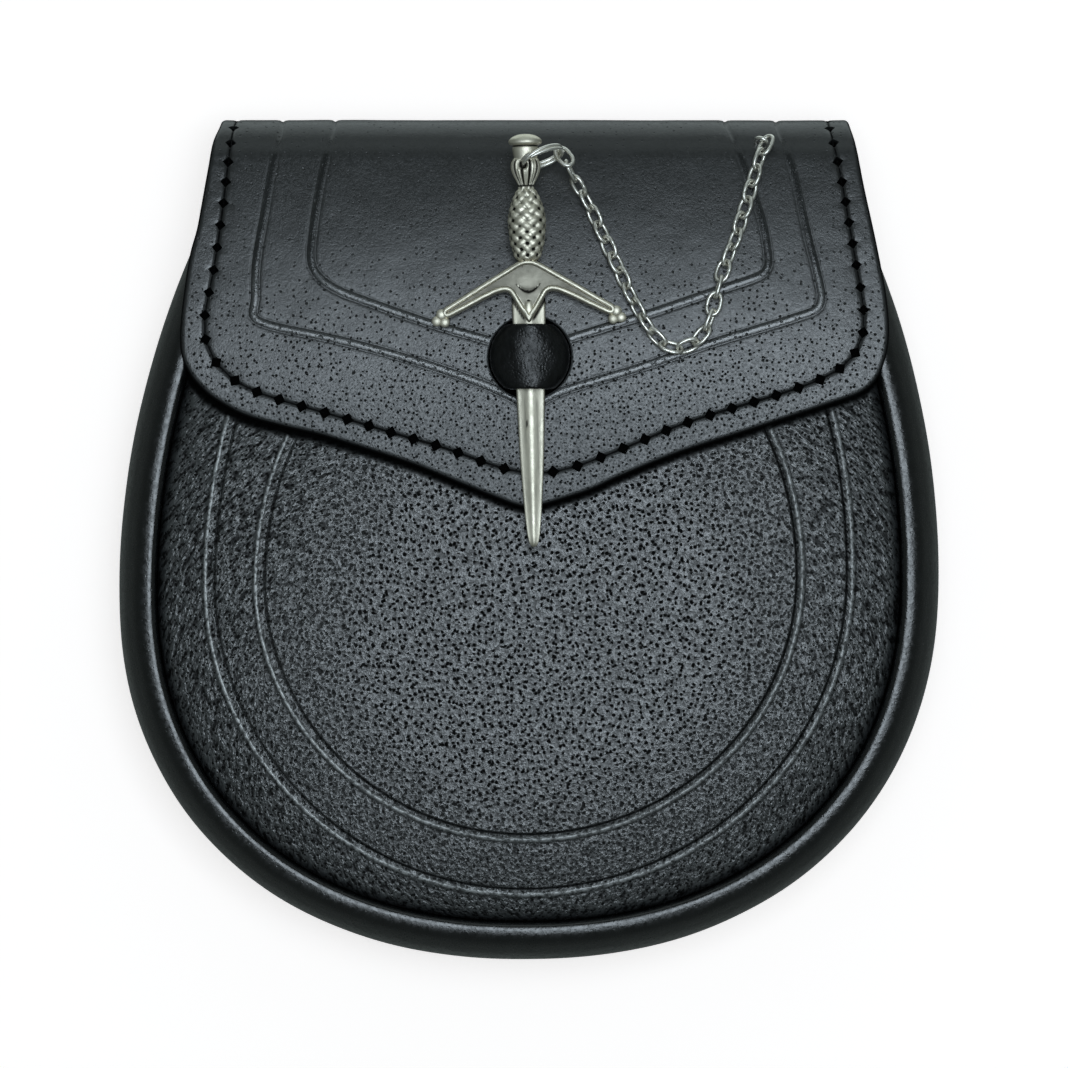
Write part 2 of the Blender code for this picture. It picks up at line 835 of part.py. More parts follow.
def build_staple(collection, cutters, material, sheet, last, before):
    """A wire arch over the last link's side, whose two legs go through the flap and are bent flat inside."""
    direction = (last - before).normalized()
    side = flap_surface(last.y)[1].cross(direction).normalized()
    foot, up = nearest_on_flap(last + direction * 0.9 + side * 1.23)
    along = (side - up * side.dot(up)).normalized()
    points = [
        (-STAPLE_HALF_SPAN - 1.6, -LEATHER - 1.0),
        (-STAPLE_HALF_SPAN - 0.5, -LEATHER - 0.95),
        (-STAPLE_HALF_SPAN, -LEATHER - 0.5),
        (-STAPLE_HALF_SPAN, 0.0),
        (-STAPLE_HALF_SPAN, STAPLE_RISE - 1.3),
        (-STAPLE_HALF_SPAN * 0.72, STAPLE_RISE - 0.4),
        (0.0, STAPLE_RISE),
    ]
    points += [(-s, h) for s, h in reversed(points[:-1])]
    curve = wire_curve(
        "chain_staple", [(s, 0.0, h) for s, h in points], STAPLE_WIRE_R, False
    )
    obj = add_object("chain_staple", curve, collection, material)
    across = up.cross(along)
    basis = Matrix((along, across, up)).transposed().to_4x4()
    obj.matrix_world = Matrix.Translation(foot * MM) @ basis
    for k, side in enumerate((-1, 1)):
        hole = round_cutter(
            f"cut_staple_{k + 1}", cutters, STAPLE_HOLE_R, 8.0, (0.0, 0.0, 0.0)
        )
        at = foot + along * (side * STAPLE_HALF_SPAN) - up * 1.0
        hole.matrix_world = Matrix.Translation(at * MM) @ basis
        cut(sheet, hole)
    return obj


def main():
    clear_scene()
    parts = new_collection("sporran_pouch")
    cutters = new_collection("cutters")
    smooth = make_material("smooth_leather", (0.016, 0.018, 0.020), 0.42, 0.0)
    grained = make_material("grained_leather", (0.020, 0.022, 0.025), 0.5, 0.0)
    rim = make_material("rim_leather", (0.010, 0.011, 0.012), 0.36, 0.0)
    loop = make_material("loop_leather", (0.008, 0.008, 0.009), 0.4, 0.0)
    nickel = make_material("cast_nickel", (0.60, 0.59, 0.52), 0.25, 1.0)
    bright = make_material("chain_nickel", (0.74, 0.73, 0.69), 0.2, 1.0)
    staple = make_material("staple_nickel", (0.70, 0.69, 0.65), 0.2, 1.0)
    ring = make_material("ring_nickel", (0.66, 0.65, 0.60), 0.22, 1.0)

    build_gusset(parts, rim)
    build_front_panel(parts, grained)
    sheet = build_sheet(parts, cutters, smooth)
    build_loop(parts, loop)
    build_sword(parts, cutters, nickel)
    build_ring(parts, ring)
    centres = build_chain(parts, bright)
    build_staple(parts, cutters, staple, sheet, centres[-1], centres[-2])


main()
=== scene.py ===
"""The looks of the sporran pouch: leather, stitching, cast sword and chain.

Millimetres in the tables, scaled by MM when a mesh is made. The pouch lies on
its back, +Z comes out of its front and +Y points to the fold.
"""

import math

import bpy
import numpy as np
from mathutils import Matrix, Vector, noise
from mathutils.geometry import delaunay_2d_cdt
from mathutils.kdtree import KDTree


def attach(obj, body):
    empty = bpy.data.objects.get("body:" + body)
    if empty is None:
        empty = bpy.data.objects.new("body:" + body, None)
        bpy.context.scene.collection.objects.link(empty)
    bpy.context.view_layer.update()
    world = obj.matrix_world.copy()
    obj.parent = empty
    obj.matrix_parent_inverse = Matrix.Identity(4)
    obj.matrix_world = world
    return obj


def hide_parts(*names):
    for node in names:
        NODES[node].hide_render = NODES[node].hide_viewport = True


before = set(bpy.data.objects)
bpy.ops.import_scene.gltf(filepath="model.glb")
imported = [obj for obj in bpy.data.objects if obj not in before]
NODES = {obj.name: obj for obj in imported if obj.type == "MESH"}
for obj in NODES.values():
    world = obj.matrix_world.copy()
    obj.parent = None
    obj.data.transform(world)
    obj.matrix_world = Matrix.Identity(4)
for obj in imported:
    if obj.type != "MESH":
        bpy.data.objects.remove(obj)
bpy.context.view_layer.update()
SCENE = bpy.context.scene

MM = 0.001

# --- body ---------------------------------------------------------------------
HALF_WIDTH = 90.0
Y_WIDEST = -9.5
BELOW_WIDEST = 82.6
ROUNDNESS = 2.2
NARROWING = 0.00279
LEAN = 0.0129
Y_MOUTH = 80.0
Y_PANEL_TOP = 71.0
LEATHER = 2.2
RIM_Z = 36.0
FLAP_Z = 39.6
SLOPE_START = 30.0
SLOPE_R = 227.0
TOP_Y = 92.05
FOLD_R_FRONT = 12.0
FOLD_R_BACK = 10.0
FLAP_DROOP = 0.7
FOLD_HALF_WIDTH = 68.8
SHEET_INSET = 2.6
PANEL_INSET = 9.25
PANEL_CORNER_R = 7.0
PANEL_SKIRT_Z = 28.2
LOOP_CENTRE = (0.1, 39.5)
LOOP_HOLE_R = 9.0
SLOT_CENTRES = ((-52.0, 52.0), (-36.0, 52.0), (36.0, 52.0), (52.0, 52.0))
SLOT_LENGTH = 31.0
SLOT_WIDTH = 5.6
SWORD_Z = 39.9
SWORD_TILT = 1.25

GUSSET_OUTSIDE = (
    # inset, z
    (9.0, 2.5),
    (3.6, 2.5),
    (1.8, 3.9),
    (0.6, 8.0),
    (0.0, 15.0),
    (0.1, 20.5),
    (0.8, 26.0),
    (2.0, 30.4),
    (3.5, 33.4),
    (4.7, 35.12),
    (5.4, 35.66),
    (6.1, 35.87),
    (7.0, 35.97),
    (8.1, 35.98),
    (8.65, 35.8),
    (8.95, 35.2),
    (9.1, 34.2),
    (9.1, 29.5),
)
GUSSET_INSIDE = (
    (7.0, 29.3),
    (6.9, 33.1),
    (5.7, 32.5),
    (4.2, 29.0),
    (2.9, 25.0),
    (2.2, 20.0),
    (2.3, 14.0),
    (3.0, 8.0),
    (4.4, 4.7),
    (9.0, 4.7),
)
PANEL_FACE = (
    # distance in from the panel's edge, z
    (0.0, 30.2),
    (0.12, 31.4),
    (0.6, 32.9),
    (1.3, 33.9),
    (2.4, 34.5),
    (5.0, 35.05),
    (9.0, 35.65),
    (14.0, 36.15),
    (20.0, 36.5),
    (28.0, 36.75),
    (40.0, 36.9),
    (90.0, 36.95),
)

# The two pressed rings on the front panel, each an oval with unlike halves.
CREASE_MIDDLE_Y = -8.25
CREASES = (
    # half width, half height below, half height above
    (70.1, 68.6, 98.7),
    (59.2, 56.7, 67.0),
)

# --- places on the flap, in the photograph's 1068 x 1068 pixels ----------------
EDGE_LEFT = (
    (212.5, 141), (209, 160), (205, 182), (201, 204), (196.5, 228), (189, 256), (182, 303), (179.5, 335), (181.5, 357), (190, 375), (200, 387),
    (214, 399), (243, 415), (280, 426), (319, 435), (355, 446), (387, 456),
    (419, 467), (458, 483), (498, 499), (515, 505.3),
)
EDGE_RIGHT = (
    (855.5, 141), (859.5, 160), (863.5, 181), (868, 202), (872.5, 222), (877, 243), (882, 268), (886.5, 292), (889.5, 322), (889, 342), (885, 361), (877, 379),
    (861, 393), (828, 405), (779, 421), (739, 434), (677, 454), (620, 477),
    (589, 491), (546, 504.5),
)
EDGE_TIP = (530.5, 508)
EMBOSSED = (
    # from the fold down and inward, corner radius
    (((272, 169), (264, 215), (256, 262), (255, 300), (258, 321), (340, 340),
      (410, 359), (478, 382), (513, 398), (531, 406), (549, 397), (571, 388),
      (641, 367), (714, 342), (799, 316), (821, 305), (818, 276), (808, 236),
      (794, 173)), 2.4),
    (((318, 196), (312, 238), (311, 262), (319, 277), (338, 290), (375, 304),
      (430, 323), (489, 340)), 2.4),
    (((759, 209), (767, 245), (768, 268), (756, 277), (714, 291), (653, 312),
      (605, 327), (570, 338)), 2.4),
)
EMBOSSED_AT_FOLD = (
    # u where each line crosses the fold
    (-55.2, 52.8), (-43.7,), (41.6,),
)
HOLES_LEFT = (
    (234, 127), (230, 144), (229, 162), (225, 180), (224, 203), (220, 224),
    (217, 247), (214, 270), (209, 292), (203, 314), (200, 339), (212, 365),
    (234, 384), (257, 393), (279, 400), (301, 406), (325, 413), (348, 419),
    (368, 426), (391, 432), (413, 440), (436, 444), (458, 452), (480, 462),
    (504, 469),
)
HOLES_RIGHT = (
    (552.7, 473.3), (578.4, 467.5), (601, 456.8), (624, 448.6), (645, 440),
    (666.5, 429.6), (687, 422), (711, 415), (732, 408), (754, 402),
    (776.5, 395.7), (798.8, 388), (820.6, 380), (842, 371), (858, 355),
    (867.6, 332.7), (865, 310), (861, 286), (856, 265), (853, 242.5),
    (849, 222.4), (845.5, 200.6), (843, 182), (837, 161), (834, 143),
    (828, 128),
)
HOLE_UNDER_BLADE = (528.5, 476.5)
STITCH_PITCH = 4.92
BACK_STITCH_INSET = 4.8
GROOVE_DEPTH = 0.26
HOLE_HALF = 1.50
HOLE_DEPTH = 1.7
THREAD_R = 0.26

# --- sword, in its own frame ------------------------------------------------------
AXIS_Z = 3.0
FLATTEN = 0.68
FLATTEN_BELOW = 0.98
GRIP = (
    # y, radius, kind of surface (0 plain, 1 leaves, 2 woven)
    (47.95, 0.0, 0),
    (47.85, 1.3, 0),
    (47.45, 2.5, 0),
    (46.85, 3.35, 0),
    (46.3, 3.62, 0),
    (45.85, 3.5, 0),
    (45.55, 3.0, 0),
    (45.35, 2.55, 0),
    (45.1, 2.75, 0),
    (44.4, 2.78, 0),
    (43.3, 2.6, 0),
    (42.7, 2.55, 0),
    (42.3, 2.9, 1),
    (41.5, 3.25, 1),
    (40.6, 3.3, 1),
    (39.6, 3.05, 1),
    (38.6, 2.6, 1),
    (37.6, 2.05, 1),
    (36.9, 1.75, 1),
    (36.3, 1.85, 2),
    (35.4, 2.45, 2),
    (34.0, 3.1, 2),
    (32.3, 3.7, 2),
    (30.6, 4.1, 2),
    (29.0, 4.25, 2),
    (27.2, 4.1, 2),
    (25.2, 3.9, 2),
    (23.9, 3.7, 2),
    (22.8, 3.3, 2),
    (21.9, 3.1, 2),
    (21.3, 2.85, 2),
    (20.85, 2.35, 2),
    (20.5, 1.5, 2),
    (20.15, 0.6, 2),
    (18.6, 0.4, 2),
)
LEAVES = 10
LEAF_RELIEF = 0.55
STRANDS = 7
STRAND_RELIEF = 0.66
STRAND_TURN = 0.36  # radians of turn for each mm along the grip
GUARD = (
    # x, y: the half outline, from the apex out along the arm and back
    (0.0, 21.0),
    (1.2, 20.9),
    (2.5, 20.35),
    (6.6, 17.95),
    (10.9, 15.4),
    (15.0, 12.9),
    (18.6, 10.8),
    (19.0, 9.6),
    (18.2, 8.6),
    (17.2, 8.65),
    (13.2, 10.6),
    (9.4, 12.55),
    (6.9, 13.7),
    (5.2, 14.15),
    (4.2, 13.9),
    (3.7, 13.1),
    (2.6, 11.2),
    (1.2, 8.9),
    (0.45, 7.6),
    (0.0, 7.2),
)
GUARD_TOP = 3.15
LOBES = (
    # x, y, radius, z
    (18.85, 9.45, 1.20, 2.35),
    (19.85, 8.05, 1.15, 2.20),
    (18.15, 7.80, 1.15, 2.15),
)
BLADE = (
    # y, half width, height of the ridge
    (16.0, 3.6, 2.6),
    (7.3, 3.55, 2.6),
    (-7.1, 3.1, 2.5),
    (-21.8, 2.6, 2.3),
    (-32.3, 1.95, 2.0),
    (-37.2, 1.5, 1.82),
    (-39.4, 1.15, 1.66),
    (-40.4, 0.82, 1.42),
    (-40.9, 0.45, 1.0),
)
BLADE_SECTION = (
    # share of the half width, share of the ridge's height: the upper face, edge to middle
    (0.97, 0.36),
    (1.0, 0.50),
    (0.99, 0.62),
    (0.955, 0.71),
    (0.90, 0.745),
    (0.80, 0.755),
    (0.68, 0.785),
    (0.55, 0.825),
    (0.43, 0.870),
    (0.32, 0.918),
    (0.22, 0.960),
    (0.15, 0.982),
    (0.08, 0.996),
    (0.0, 1.0),
)

# --- ring, chain and staple ------------------------------------------------------
RING_CENTRE = (2.75, 82.45, 42.8)
RING_ANGLE = 20.0
RING_DIP = 12.0
RING_LEAN = 24.0
RING_HALF = (4.6, 3.15)
RING_WIRE = 0.38
LINK_WIRE = 0.44
LINK_HALF = (2.43, 1.43)  # of the wire's middle line
STAPLE_WIRE = 0.45


# ---------------------------------------------------------------------------
# lines and meshes
# ---------------------------------------------------------------------------


def catmull(points, pieces, closed=False):
    """Points on the smooth curve through the given ones."""
    p = np.asarray(points, float)
    n = len(p)
    out = []
    for i in range(n if closed else n - 1):
        if closed:
            a, b, c, d = p[(i - 1) % n], p[i], p[(i + 1) % n], p[(i + 2) % n]
        else:
            a, b, c, d = p[max(i - 1, 0)], p[i], p[i + 1], p[min(i + 2, n - 1)]
        for k in range(pieces):
            t = k / pieces
            out.append(
                0.5
                * (
                    2 * b
                    + (c - a) * t
                    + (2 * a - 5 * b + 4 * c - d) * t * t
                    + (3 * b - 3 * c + d - a) * t**3
                )
            )
    if not closed:
        out.append(p[-1])
    return np.array(out)


def eased(points, radius):
    """A line whose corners are rounded within the given distance."""
    p = np.asarray(points, float)
    out = [p[0]]
    for a, b, c in zip(p, p[1:], p[2:]):
        one, two = a - b, c - b
        la, lc = np.linalg.norm(one), np.linalg.norm(two)
        start = b + one / la * min(radius, la * 0.5)
        end = b + two / lc * min(radius, lc * 0.5)
        for k in range(7):
            t = k / 6
            out.append((1 - t) ** 2 * start + 2 * t * (1 - t) * b + t * t * end)
    out.append(p[-1])
    return np.array(out)


def evenly(points, step, closed=False):
    """The same line with points at equal distances of about step."""
    p = np.asarray(points, float)
    if closed:
        p = np.vstack([p, p[:1]])
    lengths = np.concatenate([[0.0], np.cumsum(np.linalg.norm(np.diff(p, axis=0), axis=1))])
    count = max(2, int(round(lengths[-1] / step)))
    at = np.linspace(0.0, lengths[-1], count + 1)
    out = np.stack([np.interp(at, lengths, p[:, i]) for i in range(p.shape[1])], 1)
    return out[:-1] if closed else out


def offset(line, distance, closed=False):
    """The line moved to its left."""
    if closed:
        along = np.roll(line, -1, 0) - np.roll(line, 1, 0)
    else:
        along = np.gradient(line, axis=0)
    along /= np.linalg.norm(along, axis=1)[:, None]
    return line + np.stack([-along[:, 1], along[:, 0]], 1) * distance


def distance_to(points, line, closed=False):
    """Signed distance of 2-D points from the line, + on its left, and the place along it."""
    points = np.asarray(points, float)
    tree = KDTree(len(line))
    for i, (x, y) in enumerate(line):
        tree.insert((x, y, 0.0), i)
    tree.balance()
    index = np.array([tree.find((x, y, 0.0))[1] for x, y in points])
    n = len(line)
    steps = np.linalg.norm(np.diff(np.vstack([line, line[:1]]), axis=0), axis=1)
    lengths = np.concatenate([[0.0], np.cumsum(steps)])
    best = np.full(len(points), 1e9)
    side = np.ones(len(points))
    along = np.zeros(len(points))
    for shift in (-1, 0):
        i = index + shift
        i = i % n if closed else np.clip(i, 0, n - 2)
        a, b = line[i], line[(i + 1) % n]
        ab = b - a
        t = ((points - a) * ab).sum(1) / np.maximum((ab * ab).sum(1), 1e-12)
        t = np.clip(t, 0.0, 1.0)
        d = np.linalg.norm(points - (a + ab * t[:, None]), axis=1)
        s = np.sign(ab[:, 0] * (points - a)[:, 1] - ab[:, 1] * (points - a)[:, 0])
        closer = d < best - 1e-9
        best = np.where(closer, d, best)
        side = np.where(closer, np.where(s == 0, 1.0, s), side)
        along = np.where(closer, lengths[i] + t * steps[i], along)
    return best * side, along


def inside(points, polygon):
    """Whether each point is inside the closed line."""
    result = np.zeros(len(points), bool)
    x, y = points[:, 0], points[:, 1]
    a, b = polygon, np.roll(polygon, -1, 0)
    for (x0, y0), (x1, y1) in zip(a, b):
        if y0 == y1:
            continue
        cross = (y0 > y) != (y1 > y)
        result ^= cross & (x < (x1 - x0) * (y - y0) / (y1 - y0) + x0)
    return result


def hexgrid(low, high, step):
    rows = np.arange(low[1], high[1], step * math.sqrt(3) / 2)
    out = []
    for k, y in enumerate(rows):
        x = np.arange(low[0] + (k % 2) * step / 2, high[0], step)
        out.append(np.stack([x, np.full(len(x), y)], 1))
    return np.vstack(out)


def triangulate(loops, lines, points):
    """Delaunay triangles inside the first loop and outside the others. Lines and loops are kept as edges. Gives points, triangles and each loop's vertices."""
    coordinates, edges, spans = [], [], []
    for line, closed in [(l, True) for l in loops] + [(l, False) for l in lines]:
        start = len(coordinates)
        coordinates += [Vector(p) for p in line]
        n = len(line)
        edges += [(start + i, start + i + 1) for i in range(n - 1)]
        if closed:
            edges.append((start + n - 1, start))
            spans.append((start, n))
    coordinates += [Vector(p) for p in points]
    verts, _, faces, from_verts, _, _ = delaunay_2d_cdt(coordinates, edges, [], 0, 1e-5)
    verts = np.array([(v.x, v.y) for v in verts])
    faces = np.array(faces)
    centres = verts[faces].mean(1)
    keep = inside(centres, loops[0])
    for loop in loops[1:]:
        keep &= ~inside(centres, loop)
    faces = faces[keep]
    # Each input vertex's place in the result.
    place = {}
    for new, olds in enumerate(from_verts):
        for old in olds:
            place[old] = new
    rings = [[place[start + i] for i in range(n)] for start, n in spans]
    used = np.unique(faces)
    again = np.full(len(verts), -1)
    again[used] = np.arange(len(used))
    return verts[used], again[faces], [[int(again[v]) for v in ring] for ring in rings]


def strip(a, b, closed=True):
    """Triangles between two rows of vertices of the same length."""
    a, b = np.asarray(a), np.asarray(b)
    a2, b2 = (np.roll(a, -1), np.roll(b, -1)) if closed else (a[1:], b[1:])
    if not closed:
        a, b = a[:-1], b[:-1]
    return np.vstack([np.stack([a, a2, b2], 1), np.stack([a, b2, b], 1)])


def lattice(rings, closed_across=True, closed_along=False):
    """Triangles over rows of points. rings is (rows, columns, 3)."""
    rows, columns = rings.shape[:2]
    number = np.arange(rows * columns).reshape(rows, columns)
    faces = [strip(number[i], number[i + 1], closed_across) for i in range(rows - 1)]
    if closed_along:
        faces.append(strip(number[-1], number[0], closed_across))
    return rings.reshape(-1, 3), np.vstack(faces), number


def fan(ring, middle):
    ring = np.asarray(ring)
    return np.stack([np.roll(ring, -1), ring, np.full(len(ring), middle)], 1)


def tube(path, radius, sides=10, closed=False):
    """A round wire along the path, with rounded ends if it is open."""
    path = np.asarray(path, float)
    n = len(path)
    radius = np.broadcast_to(radius, (n,)).astype(float)
    if closed:
        along = np.roll(path, -1, 0) - np.roll(path, 1, 0)
    else:
        along = np.gradient(path, axis=0)
    along /= np.linalg.norm(along, axis=1)[:, None]
    side = np.cross(along[0], (0.0, 0.0, 1.0))
    if np.linalg.norm(side) < 0.1:
        side = np.cross(along[0], (1.0, 0.0, 0.0))
    sides_at = []
    for t in along:
        side = side - t * side.dot(t)
        side /= np.linalg.norm(side)
        sides_at.append(side)
    sides_at = np.array(sides_at)
    if closed:
        # The frame comes back turned, and the turn is spread over the whole length.
        t = along[0]
        last = sides_at[-1] - t * sides_at[-1].dot(t)
        last /= np.linalg.norm(last)
        turn = math.atan2(np.cross(last, sides_at[0]).dot(t), last.dot(sides_at[0]))
        for k in range(n):
            angle = turn * k / n
            sides_at[k] = sides_at[k] * math.cos(angle) + np.cross(along[k], sides_at[k]) * math.sin(angle)
    up = np.cross(along, sides_at)
    angles = np.arange(sides) * 2 * math.pi / sides
    rings = (
        path[:, None]
        + radius[:, None, None] * np.cos(angles)[None, :, None] * sides_at[:, None]
        + radius[:, None, None] * np.sin(angles)[None, :, None] * up[:, None]
    )
    verts, faces, number = lattice(rings, True, closed)
    if not closed:
        extra = len(verts)
        verts = np.vstack([verts, path[:1] - along[:1] * radius[0] * 0.5, path[-1:] + along[-1:] * radius[-1] * 0.5])
        faces = np.vstack([faces, fan(number[0], extra), fan(number[-1][::-1], extra + 1)])
    return verts, faces[:, ::-1]


def joined(parts):
    """One set of vertices and faces from several."""
    verts, faces, start = [], [], 0
    for v, f in parts:
        verts.append(v)
        faces.append(np.asarray(f) + start)
        start += len(v)
    return np.vstack(verts), np.vstack(faces)


def make_piece(name, verts, faces, material, replaces, sharp=45.0, attributes=None):
    """A piece from points in mm and triangles. It rides on the pouch."""
    verts = np.asarray(verts, float) * MM
    faces = np.asarray(faces, np.int32)
    mesh = bpy.data.meshes.new(name)
    mesh.vertices.add(len(verts))
    mesh.vertices.foreach_set("co", verts.astype(np.float32).ravel())
    mesh.loops.add(faces.size)
    mesh.loops.foreach_set("vertex_index", faces.ravel())
    mesh.polygons.add(len(faces))
    mesh.polygons.foreach_set("loop_start", np.arange(len(faces), dtype=np.int32) * 3)
    mesh.update(calc_edges=True)
    for key, values in (attributes or {}).items():
        values = np.asarray(values, np.float32)
        kind = "FLOAT" if values.ndim == 1 else "FLOAT_VECTOR"
        layer = mesh.attributes.new(key, kind, "POINT")
        layer.data.foreach_set("value" if values.ndim == 1 else "vector", values.ravel())
    mesh.validate()
    mesh.shade_smooth()
    mesh.set_sharp_from_angle(angle=math.radians(sharp))
    mesh.materials.append(material)
    obj = bpy.data.objects.new(name, mesh)
    SCENE.collection.objects.link(obj)
    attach(obj, "root")
    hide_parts(*replaces)
    return obj


def wobble(points, scale, seed):
    """Smooth noise from -1 to 1 at each point."""
    shift = Vector((seed * 17.3, seed * 5.1, seed * 9.7))
    return np.array([noise.noise(Vector(p) * scale + shift) for p in points])


# ---------------------------------------------------------------------------
# shape of the body
# ---------------------------------------------------------------------------


def fall(y):
    return np.maximum(0.0, np.asarray(y, float) - SLOPE_START) ** 2 / (2 * SLOPE_R)


def placed(points):
    """Points of the body, leaned to the side and with the front brought back towards the fold."""
    p = np.array(points, float)
    share = np.maximum(0.0, p[:, 2] - LEATHER) / (RIM_Z - LEATHER)
    p[:, 2] -= fall(p[:, 1]) * share
    p[:, 0] += LEAN * p[:, 1]
    return p


def flap_face(y):
    share = (FLAP_Z - LEATHER) / (RIM_Z - LEATHER)
    return FLAP_Z - fall(y) * share, -max(0.0, float(y) - SLOPE_START) / SLOPE_R * share


def fold_start():
    y = TOP_Y - FOLD_R_FRONT
    for _ in range(20):
        angle = math.pi / 2 - math.atan(-flap_face(y)[1])
        y = TOP_Y - FOLD_R_FRONT * (1 - math.cos(angle))
    return y, float(flap_face(y)[0]), angle


Y_BEND, Z_BEND, TURN = fold_start()
CENTRE_Y = TOP_Y - FOLD_R_FRONT
CENTRE_Z = Z_BEND - FOLD_R_FRONT * math.sin(TURN)
T_RISE = Y_BEND + FOLD_R_FRONT * TURN  # the upright stretch starts here
T_BACK_BEND = T_RISE + CENTRE_Z - FOLD_R_BACK
T_BACK = T_BACK_BEND + FOLD_R_BACK * math.pi / 2
Y_BACK = TOP_Y - FOLD_R_BACK


def profile_table():
    """The sheet's outer face seen from the side. t runs from the flap's tip over the fold and down the back."""
    rows = []
    for t in np.arange(-4.0, T_BACK + 185.0, 0.2):
        if t <= Y_BEND:
            z, slope = flap_face(t)
            n = math.hypot(slope, 1.0)
            rows.append((t, t, float(z), -slope / n, 1.0 / n))
        elif t <= T_RISE:
            a = TURN - (t - Y_BEND) / FOLD_R_FRONT
            rows.append((t, CENTRE_Y + FOLD_R_FRONT * math.cos(a), CENTRE_Z + FOLD_R_FRONT * math.sin(a), math.cos(a), math.sin(a)))
        elif t <= T_BACK_BEND:
            rows.append((t, TOP_Y, CENTRE_Z - (t - T_RISE), 1.0, 0.0))
        elif t <= T_BACK:
            a = (t - T_BACK_BEND) / FOLD_R_BACK
            rows.append((t, Y_BACK + FOLD_R_BACK * math.cos(a), FOLD_R_BACK - FOLD_R_BACK * math.sin(a), math.cos(a), -math.sin(a)))
        else:
            rows.append((t, Y_BACK - (t - T_BACK), 0.0, 0.0, -1.0))
    return np.array(rows)


PROFILE = profile_table()


def on_sheet(points, height):
    """3-D places of sheet points (u, t) at a height above the outer face."""
    u, t = points[:, 0], points[:, 1]
    y, z, ny, nz = (np.interp(t, PROFILE[:, 0], PROFILE[:, k]) for k in (1, 2, 3, 4))
    droop = FLAP_DROOP * np.clip((Y_BEND - t) / 25.0, 0.0, 1.0) * (u / 76.0) ** 2
    return np.stack([u + LEAN * y, y + ny * height, z - droop + nz * height], 1)


def from_photo(pixels):
    """Sheet points (u, t) of the flap seen at these pixels."""
    front = PROFILE[(PROFILE[:, 0] <= T_RISE)]
    scale = 0.2203 * (1200.0 - front[:, 2]) / 1184.0
    rows = 534.0 - (front[:, 1] - 1.3) / scale
    out = []
    for px, py in pixels:
        k = np.interp(-py, -rows, np.arange(len(rows)))
        t = np.interp(k, np.arange(len(rows)), front[:, 0])
        s = np.interp(k, np.arange(len(rows)), scale)
        y = np.interp(k, np.arange(len(rows)), front[:, 1])
        out.append(((px - 534.0) * s + 1.0 - LEAN * y, t))
    return np.array(out)


def outline(y_top, inset, count):
    """The body's outline as an open U moved inward, from top left round the bottom to top right."""
    right = []
    for k in range(161):
        angle = 0.5 * math.pi * k / 160
        right.append((
            HALF_WIDTH * math.sin(angle) ** (2 / ROUNDNESS),
            Y_WIDEST - BELOW_WIDEST * math.cos(angle) ** (2 / ROUNDNESS),
        ))
    for y in np.linspace(Y_WIDEST, y_top, 90)[1:]:
        right.append((HALF_WIDTH - NARROWING * (y - Y_WIDEST) ** 2, y))
    right = np.array(right)
    left = right[:0:-1] * (-1, 1)
    path = evenly(np.vstack([left, right]), 1.0)
    lengths = np.concatenate([[0.0], np.cumsum(np.linalg.norm(np.diff(path, axis=0), axis=1))])
    at = np.linspace(0.0, lengths[-1], count)
    path = np.stack([np.interp(at, lengths, path[:, i]) for i in (0, 1)], 1)
    return offset(path, inset)


# ---------------------------------------------------------------------------
# materials
# ---------------------------------------------------------------------------


